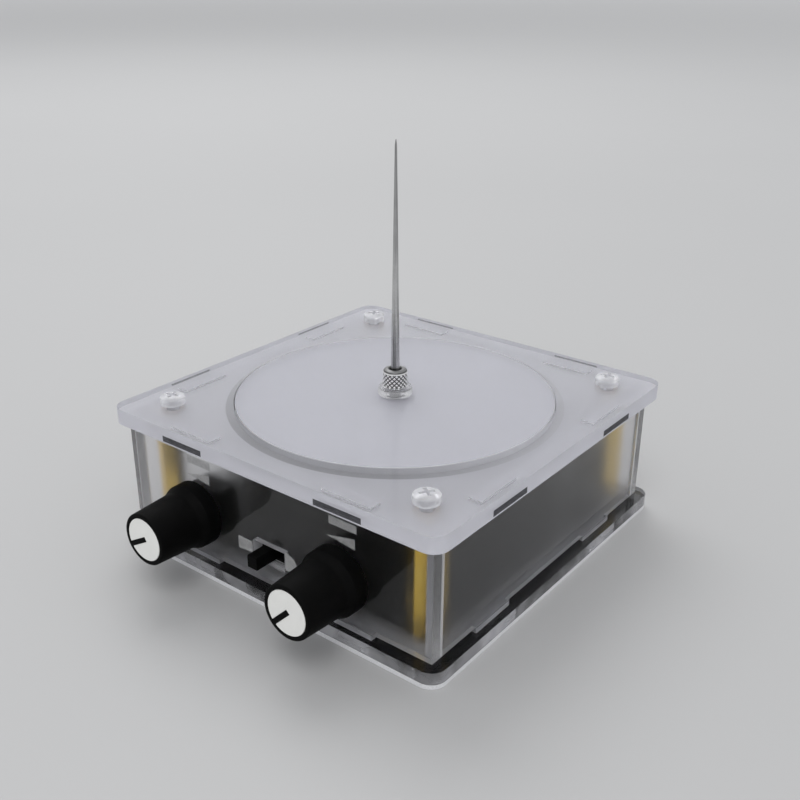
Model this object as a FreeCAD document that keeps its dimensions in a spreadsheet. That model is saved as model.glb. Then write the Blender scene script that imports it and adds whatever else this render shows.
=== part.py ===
"""Desktop resonant transformer: a clear square case with a round disc in its lid,
a flat wide coil inside, a discharge needle on top and two knobs and a switch in front.

Frame: Z up, the front with the knobs faces -Y, the origin is at the centre of the
underside. All sizes are in millimetres.
"""
import FreeCAD, Part
import math
import os
import re
import Sketcher

os.makedirs("parts", exist_ok=True)
doc = FreeCAD.newDocument("DesktopResonantTransformer")

# Driving dimensions, kept in the sheet below
SIZES = {
    # case plates
    "plate_side": 100.0,
    "plate_corner_radius": 4.0,
    "plate_thickness": 4.1,
    "case_height": 37.0,
    "bottom_board_thickness": 1.2,
    "base_plate_thickness": 3.0,
    # walls and their tabs
    "wall_thickness": 3.0,
    "wall_inset": 3.05,
    "tab_width": 13.2,
    "tab_spacing": 48.0,
    "tab_clearance": 0.1,
    "tab_recess": 0.1,
    "lid_slot_depth": 1.5,
    # disc in the lid
    "disc_margin": 9.7,
    "disc_gap": 0.3,
    # corner screws and pillars
    "pillar_radius": 3.2,
    "pillar_wall_gap": 1.55,
    "screw_radius": 1.5,
    "screw_clearance": 0.1,
    "thread_clearance": 0.05,
    "top_screw_length": 10.0,
    "screw_head_radius": 3.1,
    "screw_head_height": 2.4,
    "cross_width": 0.8,
    "cross_span": 3.2,
    "cross_depth": 1.2,
    "flat_head_radius": 2.9,
    "flat_head_height": 1.6,
    "bottom_screw_length": 12.0,
    # circuit board, its spacers and screws
    "board_wall_gap": 0.85,
    "board_thickness": 1.6,
    "board_pillar_gap": 0.8,
    "spacer_height": 2.2,
    "spacer_radius": 2.5,
    "board_screw_inset": 3.5,
    "board_screw_radius": 1.25,
    "board_screw_head_radius": 2.2,
    "board_screw_head_height": 1.5,
    "board_screw_length": 6.4,
    # rotary controls
    "knob_spacing": 45.0,
    "pot_width": 9.8,
    "pot_height": 11.2,
    "pot_depth": 6.6,
    "pot_foot_width": 8.0,
    "pot_foot_thickness": 1.0,
    "pot_foot_height": 2.5,
    "shaft_radius": 3.0,
    "shaft_clearance": 0.1,
    "shaft_root": 2.0,
    "bushing_wall": 0.4,
    "bushing_reach": 3.0,
    "bushing_clearance": 0.1,
    "bushing_nut_wall": 2.0,
    "bushing_nut_thickness": 2.0,
    # knobs, measured outwards from the face of the front panel
    "knob_gap": 0.8,
    "knob_length": 16.6,
    "knob_web": 3.55,
    "knob_nut_gap": 1.0,
    "skirt_taper": 0.1,
    "skirt_length": 3.6,
    "skirt_wall": 1.6,
    "skirt_cavity_depth": 4.2,
    "flare_length": 2.0,
    "grip_base_radius": 7.05,
    "grip_front_radius": 6.45,
    "grip_bevel": 0.4,
    "grip_rim": 0.7,
    "cap_thickness": 0.8,
    "cap_clearance": 0.05,
    "pointer_width": 1.15,
    # slide switch
    "switch_rise": 4.0,
    "switch_slot_width": 10.0,
    "switch_slot_height": 5.2,
    "nub_width": 3.1,
    "nub_height": 3.3,
    "nub_reach": 4.4,
    "nub_root": 1.5,
    "nub_travel": 2.0,
    "nub_clearance": 0.3,
    "switch_body_width": 13.0,
    "switch_body_depth": 4.0,
    "switch_body_cover": 1.2,
    # power socket in the rear
    "jack_pillar_gap": 0.5,
    "jack_width": 9.0,
    "jack_depth": 11.0,
    "jack_height": 11.0,
    "jack_axis_height": 6.5,
    "jack_nose_radius": 3.9,
    "jack_nose_length": 2.6,
    "jack_hole_clearance": 0.1,
    "jack_bore_radius": 2.9,
    "jack_bore_depth": 9.5,
    "jack_pin_radius": 1.0,
    "jack_pin_length": 8.5,
    # secondary coil
    "coil_wall_gap": 5.55,
    "former_wall": 1.8,
    "winding_thickness": 2.2,
    "winding_top_margin": 1.3,
    "winding_foot_gap": 0.4,
    # primary coil
    "sleeve_thickness": 1.1,
    "sleeve_margin": 1.1,
    "wire_radius": 0.6,
    "wire_seat_gap": 0.1,
    "turn_pitch": 1.8,
    "first_turn_height": 0.9,
    "lead_length": 13.0,
    "terminal_post_width": 2.4,
    "terminal_post_cover": 1.2,
    # discharge terminal
    "stud_radius": 1.5,
    "stud_tail": 0.7,
    "clamp_nut_radius": 3.2,
    "clamp_nut_height": 2.4,
    "top_lead_radius": 0.4,
    "washer_radius": 4.4,
    "washer_height": 2.0,
    "knurled_nut_radius": 3.15,
    "knurled_nut_height": 4.9,
    "knurled_nut_bevel": 0.9,
    "knurl_depth": 0.25,
    "needle_seat_depth": 1.3,
    "needle_seat_gap": 0.1,
    "needle_clearance": 0.03,
    "needle_radius": 1.12,
    "needle_shoulder_radius": 0.27,
    "needle_point_radius": 0.08,
    "needle_point_length": 1.4,
    "needle_length": 56.5,
    # power stage on the board
    "heat_sink_width": 24.0,
    "heat_sink_depth": 14.0,
    "heat_sink_gap": 3.0,
    "heat_sink_headroom": 4.9,
    "heat_sink_web": 3.0,
    "fin_thickness": 1.2,
    "transistor_spacing": 12.0,
    "transistor_width": 10.0,
    "transistor_thickness": 4.5,
    "metal_tab_thickness": 1.3,
    "metal_tab_top_gap": 0.4,
    "metal_tab_free_share": 0.423,
    "leg_length": 4.0,
    "leg_width": 0.8,
    "leg_pitch": 2.54,
    "tab_screw_drop": 3.0,
    "tab_screw_head_height": 1.6,
    "tab_screw_length": 3.6,
    "part_gap": 2.5,
    "capacitor_radius": 4.0,
    "capacitor_height": 14.0,
    "capacitor_spacing": 20.0,
    "film_capacitor_width": 10.0,
    "film_capacitor_depth": 6.0,
    "film_capacitor_height": 11.0,
    "chip_width": 10.0,
    "chip_depth": 6.5,
    "chip_height": 3.5,
    # one overrun for every cut
    "overrun": 1.0,
}

# Angles in degrees and counts
ANGLES_AND_COUNTS = {
    "left_pointer_angle": -120,
    "right_pointer_angle": -135,
    "pillar_turn": -20,
    "knurl_count": 20,
    "fin_count": 7,
    "turn_count": 3,
}

sheet = doc.addObject("Spreadsheet::Sheet", "Sizes")
for row, (alias, size) in enumerate({**SIZES, **ANGLES_AND_COUNTS}.items(), start=1):
    sheet.set(f"A{row}", alias.replace("_", " "))
    sheet.set(f"B{row}", str(size))
    sheet.setAlias(f"B{row}", alias)
doc.recompute()

# Places that follow from the driving dimensions, as expressions
BASE_UNDER = "bottom_board_thickness"
BASE_TOP = "(bottom_board_thickness + base_plate_thickness)"
LID_UNDER = "(case_height - plate_thickness)"
WALL_FACE = "(plate_side / 2 - wall_inset)"
WALL_BACK = "(plate_side / 2 - wall_inset - wall_thickness)"
SCREW_HOLE = "(screw_radius + screw_clearance)"
THREAD_BORE = "(screw_radius + thread_clearance)"
CORNER = f"({WALL_BACK} - pillar_wall_gap - pillar_radius)"
DISC_RADIUS = "(plate_side / 2 - disc_margin)"
BOARD_UNDER = f"({BASE_TOP} + spacer_height)"
BOARD_TOP = f"({BOARD_UNDER} + board_thickness)"
CONTROL_Z = f"({BOARD_TOP} + pot_foot_height + pot_height / 2)"
BUSHING_RADIUS = "(shaft_radius + shaft_clearance + bushing_wall)"
BUSHING_NUT_RADIUS = f"({BUSHING_RADIUS} + bushing_nut_wall)"
KNOB_FRONT = "(knob_gap + knob_length)"
CAP_RECESS = "(grip_front_radius - grip_bevel - grip_rim)"
CAP_FLOOR = f"({KNOB_FRONT} - cap_thickness)"
SHAFT_BORE_END = f"({CAP_FLOOR} - knob_web)"
SKIRT_CAVITY = f"({BUSHING_NUT_RADIUS} + knob_nut_gap)"
SWITCH_Z = f"({BOARD_TOP} + switch_rise)"
JACK_X = f"({CORNER} - pillar_radius - jack_pillar_gap - jack_width / 2)"
JACK_Z = f"({BOARD_TOP} + jack_axis_height)"
COIL_RADIUS = f"({WALL_BACK} - coil_wall_gap - wire_radius)"
SLEEVE_RADIUS = f"({COIL_RADIUS} - wire_radius - wire_seat_gap)"
SLEEVE_HEIGHT = "(first_turn_height + turn_pitch * turn_count + sleeve_margin)"
FORMER_RADIUS = f"({SLEEVE_RADIUS} - sleeve_thickness)"
FORMER_INSIDE = f"({FORMER_RADIUS} - former_wall)"
WINDING_BOTTOM = f"({BOARD_TOP} + {SLEEVE_HEIGHT} + winding_foot_gap)"
WINDING_TOP = f"({LID_UNDER} - winding_top_margin)"
BOARD_SCREW = f"(({FORMER_INSIDE} - board_screw_inset) / sqrt(2))"
CLAMP_NUT_BOTTOM = f"({LID_UNDER} - clamp_nut_height)"
NUT_BOTTOM = "(case_height + washer_height)"
NUT_TOP = f"({NUT_BOTTOM} + knurled_nut_height)"
NEEDLE_BOTTOM = f"({NUT_TOP} - needle_seat_depth)"
STUD_TOP = f"({NEEDLE_BOTTOM} - needle_seat_gap)"
HEAT_SINK_TOP = f"({LID_UNDER} - heat_sink_headroom)"
HEAT_SINK_BACK = f"(sqrt({FORMER_INSIDE}^2 - (heat_sink_width / 2)^2) - heat_sink_gap)"
HEAT_SINK_FRONT = f"({HEAT_SINK_BACK} - heat_sink_depth)"
TRANSISTOR_BOTTOM = f"({BOARD_TOP} + leg_length)"
TAB_TOP = f"({HEAT_SINK_TOP} - metal_tab_top_gap)"
TAB_FRONT = f"({HEAT_SINK_FRONT} - metal_tab_thickness)"
TAB_SCREW_Z = f"({TAB_TOP} - tab_screw_drop)"
CAPACITOR_ROW = f"({HEAT_SINK_FRONT} - transistor_thickness - part_gap - capacitor_radius)"
CHIP_ROW = f"({CAPACITOR_ROW} - capacitor_radius - part_gap - chip_depth / 2)"

CORNERS = ((-1, -1), (1, -1), (1, 1), (-1, 1))
SIDES = (("left", -1), ("right", 1))
NAME = re.compile(r"[a-z][a-z_0-9]*")
NODES = {}


def full(text):
    """Write the sheet's name in front of each alias of an expression."""
    return NAME.sub(lambda m: f"Sizes.{m.group()}" if sheet.getCellFromAlias(m.group()) else m.group(), text)


def value(text):
    """The present value of an expression."""
    result = sheet.evalExpression(full(text))
    return float(getattr(result, "Value", result))


def bind(thing, prop, text):
    """Tie one property to an expression, unless it is zero."""
    if text != "0":
        thing.setExpression(prop, full(text))


def move(thing, place):
    for axis, text in zip("xyz", place):
        bind(thing, f"Placement.Base.{axis}", text)


def node(label, thing):
    """Keep a finished sub-part under its own name."""
    thing.Label = label
    NODES[label] = thing
    return thing


# Part primitives


def box(name, size, corner):
    solid = doc.addObject("Part::Box", name)
    for prop, text in zip(("Length", "Width", "Height"), size):
        bind(solid, prop, text)
    move(solid, corner)
    return solid


TURNS = {
    "z": FreeCAD.Rotation(),
    "x": FreeCAD.Rotation(FreeCAD.Vector(0, 1, 0), 90),
    "y": FreeCAD.Rotation(FreeCAD.Vector(1, 0, 0), -90),
    "-y": FreeCAD.Rotation(FreeCAD.Vector(1, 0, 0), 90),
}


def rod(name, radius, length, start, along="z"):
    solid = doc.addObject("Part::Cylinder", name)
    solid.Placement.Rotation = TURNS[along]
    bind(solid, "Radius", radius)
    bind(solid, "Height", length)
    move(solid, start)
    return solid


def cone(name, low_radius, high_radius, length, start):
    solid = doc.addObject("Part::Cone", name)
    bind(solid, "Radius1", low_radius)
    bind(solid, "Radius2", high_radius)
    bind(solid, "Height", length)
    move(solid, start)
    return solid


def hexagon(name, radius, length, start, along="z", turn=0):
    solid = doc.addObject("Part::Prism", name)
    solid.Polygon = 6
    solid.Placement.Rotation = TURNS[along] * FreeCAD.Rotation(FreeCAD.Vector(0, 0, 1), turn)
    bind(solid, "Circumradius", radius)
    bind(solid, "Height", length)
    move(solid, start)
    return solid


def cut(name, base, tool):
    result = doc.addObject("Part::Cut", name)
    result.Base = base
    result.Tool = tool
    return result


def fuse(name, pieces):
    result = doc.addObject("Part::MultiFuse", name)
    result.Shapes = pieces
    return result


def group(name, pieces):
    """Separate solids that share one node."""
    result = doc.addObject("Part::Compound", name)
    result.Links = pieces
    return result


def cross_recess(name, x, y, low):
    """The cross in a screw's head, from its floor up."""
    depth = "cross_depth + overrun"
    arms = []
    for arm, (wide, deep) in enumerate((("cross_span", "cross_width"), ("cross_width", "cross_span"))):
        corner = (f"{x} - {wide} / 2", f"{y} - {deep} / 2", low)
        arms.append(box(f"{name}_arm_{arm}", (wide, deep, depth), corner))
    return fuse(name, arms)


# Bodies with sketches


def body(name):
    return doc.addObject("PartDesign::Body", name)


def sketch(owner, name, plane, offset="0"):
    """A sketch on one of the body's own planes, moved along the plane's normal."""
    drawing = owner.newObject("Sketcher::SketchObject", name)
    support = [f for f in owner.Origin.OriginFeatures if f.Role == plane][0]
    drawing.AttachmentSupport = [(support, "")]
    drawing.MapMode = "FlatFace"
    bind(drawing, "AttachmentOffset.Base.z", offset)
    return drawing


def pin_point(drawing, edge, end, place):
    """Hold a point of the sketch at a place given by two expressions."""
    for kind, axis, text in zip(("DistanceX", "DistanceY"), (-2, -1), place):
        if text == "0":
            drawing.addConstraint(Sketcher.Constraint("PointOnObject", edge, end, axis))
        else:
            constraint = Sketcher.Constraint(kind, -1, 1, edge, end, value(text))
            index = drawing.addConstraint(constraint)
            bind(drawing, f"Constraints[{index}]", text)


def flat(place):
    return FreeCAD.Vector(value(place[0]), value(place[1]), 0)


def polygon(drawing, places):
    first = drawing.GeometryCount
    count = len(places)
    for start, end in zip(places, places[1:] + places[:1]):
        drawing.addGeometry(Part.LineSegment(flat(start), flat(end)), False)
    for side in range(count):
        following = (side + 1) % count
        drawing.addConstraint(Sketcher.Constraint("Coincident", first + side, 2, first + following, 1))
    for side, place in enumerate(places):
        pin_point(drawing, first + side, 1, place)


def rectangle(drawing, low, high):
    polygon(drawing, [low, (high[0], low[1]), high, (low[0], high[1])])


def circle(drawing, centre, radius):
    normal = FreeCAD.Vector(0, 0, 1)
    edge = drawing.addGeometry(Part.Circle(flat(centre), normal, value(radius)), False)
    if centre == ("0", "0"):
        drawing.addConstraint(Sketcher.Constraint("Coincident", edge, 3, -1, 1))
    else:
        pin_point(drawing, edge, 3, centre)
    index = drawing.addConstraint(Sketcher.Constraint("Radius", edge, value(radius)))
    bind(drawing, f"Constraints[{index}]", radius)


def pad(owner, name, drawing, length):
    feature = owner.newObject("PartDesign::Pad", name)
    feature.Profile = drawing
    bind(feature, "Length", length)
    drawing.Visibility = False
    return feature


def pocket(owner, name, drawing, length, reverse=False):
    """Cut along the sketch's normal, or against it when reversed."""
    feature = owner.newObject("PartDesign::Pocket", name)
    feature.Profile = drawing
    bind(feature, "Length", length)
    feature.Reversed = not reverse
    return feature


def revolve(owner, name, drawing):
    feature = owner.newObject("PartDesign::Revolution", name)
    feature.Profile = drawing
    feature.ReferenceAxis = (drawing, ["V_Axis"])
    feature.Angle = 360
    return feature


def round_upright_edges(owner, name, feature, radius):
    """Round the upright corners of a pad."""
    doc.recompute()
    upright = []
    for index, edge in enumerate(feature.Shape.Edges, start=1):
        low, high = (vertex.Point for vertex in edge.Vertexes)
        if math.hypot(high.x - low.x, high.y - low.y) < abs(high.z - low.z) / 2:
            upright.append(f"Edge{index}")
    rounding = owner.newObject("PartDesign::Fillet", name)
    rounding.Base = (feature, upright)
    bind(rounding, "Radius", radius)
    return rounding


# Case plates


def square_plate(name, bottom, thickness):
    """A square plate with rounded corners, lying flat."""
    plate = body(name)
    half = "plate_side / 2"
    outline = sketch(plate, f"{name}_outline", "XY_Plane", bottom)
    rectangle(outline, (f"-{half}", f"-{half}"), (half, half))
    slab = pad(plate, f"{name}_slab", outline, thickness)
    round_upright_edges(plate, f"{name}_corners", slab, "plate_corner_radius")
    return plate


def tab_slots(plate, name, bottom, depth):
    """Eight slots for the tabs of the walls, cut upwards from a height."""
    slots = sketch(plate, f"{name}_slot_outlines", "XY_Plane", bottom)
    near = f"({WALL_BACK} - tab_clearance)"
    far = f"({WALL_FACE} + tab_clearance)"
    for sign in (-1, 1):
        for row in (-1, 1):
            low, high = sorted((f"{sign} * {near}", f"{sign} * {far}"), key=value)
            start = f"({row} * tab_spacing / 2 - tab_width / 2 - tab_clearance)"
            end = f"({row} * tab_spacing / 2 + tab_width / 2 + tab_clearance)"
            rectangle(slots, (start, low), (end, high))
            rectangle(slots, (low, start), (high, end))
    pocket(plate, f"{name}_slots", slots, depth)


def four_holes(plate, name, bottom, depth, offset, radius):
    holes = sketch(plate, f"{name}_outlines", "XY_Plane", bottom)
    for sign_x, sign_y in CORNERS:
        circle(holes, (f"{sign_x} * {offset}", f"{sign_y} * {offset}"), radius)
    pocket(plate, name, holes, depth)


def countersinks(name):
    """The room that the four bottom screws need, from the underside up."""
    tools = []
    for number, (sign_x, sign_y) in enumerate(CORNERS, start=1):
        x, y = f"{sign_x} * {CORNER}", f"{sign_y} * {CORNER}"
        sink = cone(f"{name}_sink_{number}", "flat_head_radius + thread_clearance", THREAD_BORE,
                    "flat_head_height", (x, y, "0"))
        bore = rod(f"{name}_bore_{number}", THREAD_BORE, f"{BASE_TOP} + overrun", (x, y, "0"))
        tools.append(fuse(f"{name}_tool_{number}", [sink, bore]))
    return fuse(name, tools)


def bottom_board():
    slab = square_plate("bottom_board_slab", "0", "bottom_board_thickness")
    return node("bottom_board", cut("bottom_board", slab, countersinks("board_countersinks")))


def base_plate():
    slab = square_plate("base_plate_slab", BASE_UNDER, "base_plate_thickness")
    tab_slots(slab, "base", BASE_UNDER, "base_plate_thickness")
    four_holes(slab, "base_screw_bores", BASE_UNDER, "base_plate_thickness", BOARD_SCREW,
               "(board_screw_radius + thread_clearance)")
    return node("base_plate", cut("base_plate", slab, countersinks("plate_countersinks")))


def top_plate():
    lid = square_plate("top_plate", LID_UNDER, "plate_thickness")
    tab_slots(lid, "lid", LID_UNDER, "lid_slot_depth")
    four_holes(lid, "lid_screw_holes", LID_UNDER, "plate_thickness", CORNER, SCREW_HOLE)
    opening = sketch(lid, "disc_opening_outline", "XY_Plane", LID_UNDER)
    circle(opening, ("0", "0"), f"({DISC_RADIUS} + disc_gap)")
    pocket(lid, "disc_opening", opening, "plate_thickness")
    return node("top_plate", lid)


def centre_disc():
    disc = body("centre_disc")
    outline = sketch(disc, "disc_outline", "XY_Plane", LID_UNDER)
    circle(outline, ("0", "0"), DISC_RADIUS)
    circle(outline, ("0", "0"), "(stud_radius + thread_clearance)")
    pad(disc, "disc_slab", outline, "plate_thickness")
    return node("centre_disc", disc)


# Walls


def wall_outline(half_width):
    """A wall seen square on, with two tabs through the base and two shorter ones into the lid."""
    low = f"({BASE_UNDER} + tab_recess)"
    high = f"({LID_UNDER} + lid_slot_depth - tab_recess)"
    tabs = []
    for row in (-1, 1):
        start = f"({row} * tab_spacing / 2 - tab_width / 2)"
        end = f"({row} * tab_spacing / 2 + tab_width / 2)"
        tabs.append((start, end))
    places = [(f"-{half_width}", BASE_TOP)]
    for start, end in tabs:
        places += [(start, BASE_TOP), (start, low), (end, low), (end, BASE_TOP)]
    places += [(half_width, BASE_TOP), (half_width, LID_UNDER)]
    for start, end in reversed(tabs):
        places += [(end, LID_UNDER), (end, high), (start, high), (start, LID_UNDER)]
    places.append((f"-{half_width}", LID_UNDER))
    return places


def wall(name, plane, offset, half_width):
    panel = body(name)
    outline = sketch(panel, f"{name}_outline", plane, offset)
    polygon(outline, wall_outline(half_width))
    pad(panel, f"{name}_slab", outline, "wall_thickness")
    return panel


def front_panel():
    panel = wall("front_panel", "XZ_Plane", WALL_BACK, WALL_FACE)
    openings = sketch(panel, "front_opening_outlines", "XZ_Plane", WALL_BACK)
    for side, sign in SIDES:
        circle(openings, (f"{sign} * knob_spacing / 2", CONTROL_Z),
               f"({BUSHING_RADIUS} + bushing_clearance)")
    low = ("-switch_slot_width / 2", f"({SWITCH_Z} - switch_slot_height / 2)")
    high = ("switch_slot_width / 2", f"({SWITCH_Z} + switch_slot_height / 2)")
    rectangle(openings, low, high)
    pocket(panel, "front_openings", openings, "wall_thickness")
    return node("front_panel", panel)


def rear_panel():
    panel = wall("rear_panel", "XZ_Plane", f"-{WALL_FACE}", WALL_FACE)
    opening = sketch(panel, "jack_opening_outline", "XZ_Plane", f"-{WALL_FACE}")
    circle(opening, (JACK_X, JACK_Z), "(jack_nose_radius + jack_hole_clearance)")
    pocket(panel, "jack_opening", opening, "wall_thickness")
    return node("rear_panel", panel)


def side_panels():
    node("left_panel", wall("left_panel", "YZ_Plane", f"-{WALL_FACE}", WALL_BACK))
    node("right_panel", wall("right_panel", "YZ_Plane", WALL_BACK, WALL_BACK))


# Corner pillars and the case's screws


def corner_pillars():
    pillars = []
    height = f"{LID_UNDER} - {BASE_TOP}"
    for number, (sign_x, sign_y) in enumerate(CORNERS, start=1):
        foot = (f"{sign_x} * {CORNER}", f"{sign_y} * {CORNER}", BASE_TOP)
        column = hexagon(f"pillar_column_{number}", "pillar_radius", height, foot,
                         turn=value("pillar_turn"))
        bore = rod(f"pillar_bore_{number}", THREAD_BORE, height, foot)
        pillars.append(cut(f"pillar_{number}", column, bore))
    node("corner_pillars", group("corner_pillars", pillars))


def top_screws():
    screws = []
    for number, (sign_x, sign_y) in enumerate(CORNERS, start=1):
        x, y = f"{sign_x} * {CORNER}", f"{sign_y} * {CORNER}"
        head = rod(f"top_screw_head_{number}", "screw_head_radius", "screw_head_height",
                   (x, y, "case_height"))
        shank = rod(f"top_screw_shank_{number}", "screw_radius", "top_screw_length",
                    (x, y, "case_height - top_screw_length"))
        whole = fuse(f"top_screw_blank_{number}", [head, shank])
        floor = "case_height + screw_head_height - cross_depth"
        screws.append(cut(f"top_screw_{number}", whole, cross_recess(f"top_cross_{number}", x, y, floor)))
    node("top_screws", group("top_screws", screws))


def bottom_screws():
    screws = []
    for number, (sign_x, sign_y) in enumerate(CORNERS, start=1):
        x, y = f"{sign_x} * {CORNER}", f"{sign_y} * {CORNER}"
        head = cone(f"bottom_screw_head_{number}", "flat_head_radius", "screw_radius", "flat_head_height",
                    (x, y, "0"))
        shank = rod(f"bottom_screw_shank_{number}", "screw_radius", "bottom_screw_length", (x, y, "0"))
        whole = fuse(f"bottom_screw_blank_{number}", [head, shank])
        recess = cross_recess(f"bottom_cross_{number}", x, y, "-overrun")
        screws.append(cut(f"bottom_screw_{number}", whole, recess))
    node("bottom_screws", group("bottom_screws", screws))


# Circuit board


def circuit_board():
    board = body("circuit_board")
    edge = f"({WALL_BACK} - board_wall_gap)"
    inner = f"({CORNER} - pillar_radius - board_pillar_gap)"
    outline = sketch(board, "board_outline", "XY_Plane", BOARD_UNDER)
    polygon(outline, [
        (f"-{inner}", f"-{edge}"), (inner, f"-{edge}"), (inner, f"-{inner}"), (edge, f"-{inner}"),
        (edge, inner), (inner, inner), (inner, edge), (f"-{inner}", edge),
        (f"-{inner}", inner), (f"-{edge}", inner), (f"-{edge}", f"-{inner}"), (f"-{inner}", f"-{inner}"),
    ])
    pad(board, "board_slab", outline, "board_thickness")
    four_holes(board, "board_screw_holes", BOARD_UNDER, "board_thickness", BOARD_SCREW,
               "(board_screw_radius + screw_clearance)")
    return node("circuit_board", board)


def board_fasteners():
    spacers = []
    screws = []
    for number, (sign_x, sign_y) in enumerate(CORNERS, start=1):
        x, y = f"{sign_x} * {BOARD_SCREW}", f"{sign_y} * {BOARD_SCREW}"
        tube = rod(f"spacer_tube_{number}", "spacer_radius", "spacer_height", (x, y, BASE_TOP))
        bore = rod(f"spacer_bore_{number}", "board_screw_radius + screw_clearance", "spacer_height",
                   (x, y, BASE_TOP))
        spacers.append(cut(f"spacer_{number}", tube, bore))
        head = rod(f"board_screw_head_{number}", "board_screw_head_radius", "board_screw_head_height",
                   (x, y, BOARD_TOP))
        shank = rod(f"board_screw_shank_{number}", "board_screw_radius", "board_screw_length",
                    (x, y, f"{BOARD_TOP} - board_screw_length"))
        screws.append(fuse(f"board_screw_{number}", [head, shank]))
    node("board_spacers", group("board_spacers", spacers))
    node("board_screws", group("board_screws", screws))


# Rotary controls


def potentiometer(side, x):
    """The body with its threaded bushing, the panel nut and the turning shaft."""
    back = f"(-{WALL_BACK} + pot_depth)"
    bottom = f"({CONTROL_Z} - pot_height / 2)"
    case = box(f"{side}_pot_case", ("pot_width", "pot_depth", "pot_height"),
               (f"{x} - pot_width / 2", f"-{WALL_BACK}", bottom))
    foot = box(f"{side}_pot_foot", ("pot_foot_width", "pot_foot_thickness", f"{bottom} - {BOARD_TOP}"),
               (f"{x} - pot_foot_width / 2", f"{back} - pot_foot_thickness", BOARD_TOP))
    bushing = rod(f"{side}_bushing", BUSHING_RADIUS, "wall_thickness + bushing_reach",
                  (x, f"-{WALL_BACK}", CONTROL_Z), "-y")
    blank = fuse(f"{side}_pot_blank", [case, foot, bushing])
    root = "(shaft_root + shaft_clearance)"
    bore = rod(f"{side}_pot_bore", "shaft_radius + shaft_clearance",
               f"{root} + wall_thickness + bushing_reach + overrun",
               (x, f"-{WALL_BACK} + {root}", CONTROL_Z), "-y")
    node(f"{side}_pot_body", cut(f"{side}_pot_body", blank, bore))

    face = (x, f"-{WALL_FACE}", CONTROL_Z)
    nut = hexagon(f"{side}_nut_blank", BUSHING_NUT_RADIUS, "bushing_nut_thickness", face, "-y")
    nut_bore = rod(f"{side}_nut_bore", f"{BUSHING_RADIUS} + thread_clearance",
                   "bushing_nut_thickness", face, "-y")
    node(f"{side}_pot_nut", cut(f"{side}_pot_nut", nut, nut_bore))

    shaft = rod(f"{side}_pot_shaft", "shaft_radius",
                f"shaft_root + wall_thickness + {SHAFT_BORE_END} - cap_clearance",
                (x, f"-{WALL_BACK} + shaft_root", CONTROL_Z), "-y")
    node(f"{side}_pot_shaft", shaft)


def face_panel(thing, x, angle):
    """Turn a piece drawn upright outwards from the panel, its pointer at an angle from the top."""
    spin = f"rotation(vector(0; 1; 0); {angle}) * rotation(vector(1; 0; 0); 90)"
    bind(thing, "Placement", f"placement(vector({x}; -{WALL_FACE}; {CONTROL_Z}); {spin})")


def knob(side, x, angle):
    """A skirted knob: its own Z runs outwards from the panel, its pointer lies along its own Y."""
    shell = body(f"{side}_knob")
    profile = sketch(shell, f"{side}_knob_profile", "XZ_Plane")
    skirt_radius = f"({SKIRT_CAVITY} + skirt_wall)"
    cavity_floor = "(knob_gap + skirt_cavity_depth)"
    skirt_top = "(knob_gap + skirt_length)"
    bore = "(shaft_radius + cap_clearance)"
    polygon(profile, [
        (SKIRT_CAVITY, "knob_gap"), (skirt_radius, "knob_gap"),
        (f"({skirt_radius} - skirt_taper)", skirt_top),
        ("grip_base_radius", f"({skirt_top} + flare_length)"),
        ("grip_front_radius", f"({KNOB_FRONT} - grip_bevel)"),
        ("(grip_front_radius - grip_bevel)", KNOB_FRONT),
        (CAP_RECESS, KNOB_FRONT), (CAP_RECESS, CAP_FLOOR), ("0", CAP_FLOOR), ("0", SHAFT_BORE_END),
        (bore, SHAFT_BORE_END), (bore, cavity_floor), (SKIRT_CAVITY, cavity_floor),
    ])
    revolve(shell, f"{side}_knob_turning", profile)
    rib = sketch(shell, f"{side}_pointer_outline", "XY_Plane", CAP_FLOOR)
    rectangle(rib, ("-pointer_width / 2", "0"), ("pointer_width / 2", CAP_RECESS))
    pad(shell, f"{side}_pointer", rib, "cap_thickness")
    face_panel(shell, x, angle)
    node(f"{side}_knob", shell)

    cap = body(f"{side}_knob_cap")
    disc = sketch(cap, f"{side}_cap_outline", "XY_Plane", CAP_FLOOR)
    circle(disc, ("0", "0"), f"({CAP_RECESS} - cap_clearance)")
    pad(cap, f"{side}_cap_disc", disc, "cap_thickness")
    slot = sketch(cap, f"{side}_cap_slot_outline", "XY_Plane", CAP_FLOOR)
    half_slot = "(pointer_width / 2 + cap_clearance)"
    rectangle(slot, (f"-{half_slot}", "-cap_clearance"), (half_slot, f"({CAP_RECESS} + overrun)"))
    pocket(cap, f"{side}_cap_slot", slot, "cap_thickness")
    face_panel(cap, x, angle)
    node(f"{side}_knob_cap", cap)


def controls():
    for side, sign in SIDES:
        x = f"{sign} * knob_spacing / 2"
        potentiometer(side, x)
        knob(side, x, f"{side}_pointer_angle")


# Slide switch


def slide_switch():
    """The switch body with a window, and the slider at the left end of its travel."""
    height = f"{SWITCH_Z} + nub_height / 2 + nub_clearance + switch_body_cover - {BOARD_TOP}"
    case = box("switch_case", ("switch_body_width", "switch_body_depth", height),
               ("-switch_body_width / 2", f"-{WALL_BACK}", BOARD_TOP))
    window_width = "(nub_width + nub_travel + 2 * nub_clearance)"
    window_height = "(nub_height + 2 * nub_clearance)"
    window = box("switch_window", (window_width, "nub_root + nub_clearance + overrun", window_height),
                 (f"-{window_width} / 2", f"-{WALL_BACK} - overrun", f"{SWITCH_Z} - {window_height} / 2"))
    node("switch_body", cut("switch_body", case, window))

    slider = box("switch_slider", ("nub_width", "nub_root + wall_thickness + nub_reach", "nub_height"),
                 ("-nub_travel / 2 - nub_width / 2", f"-{WALL_FACE} - nub_reach",
                  f"{SWITCH_Z} - nub_height / 2"))
    node("switch_slider", slider)


# Power socket


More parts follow.
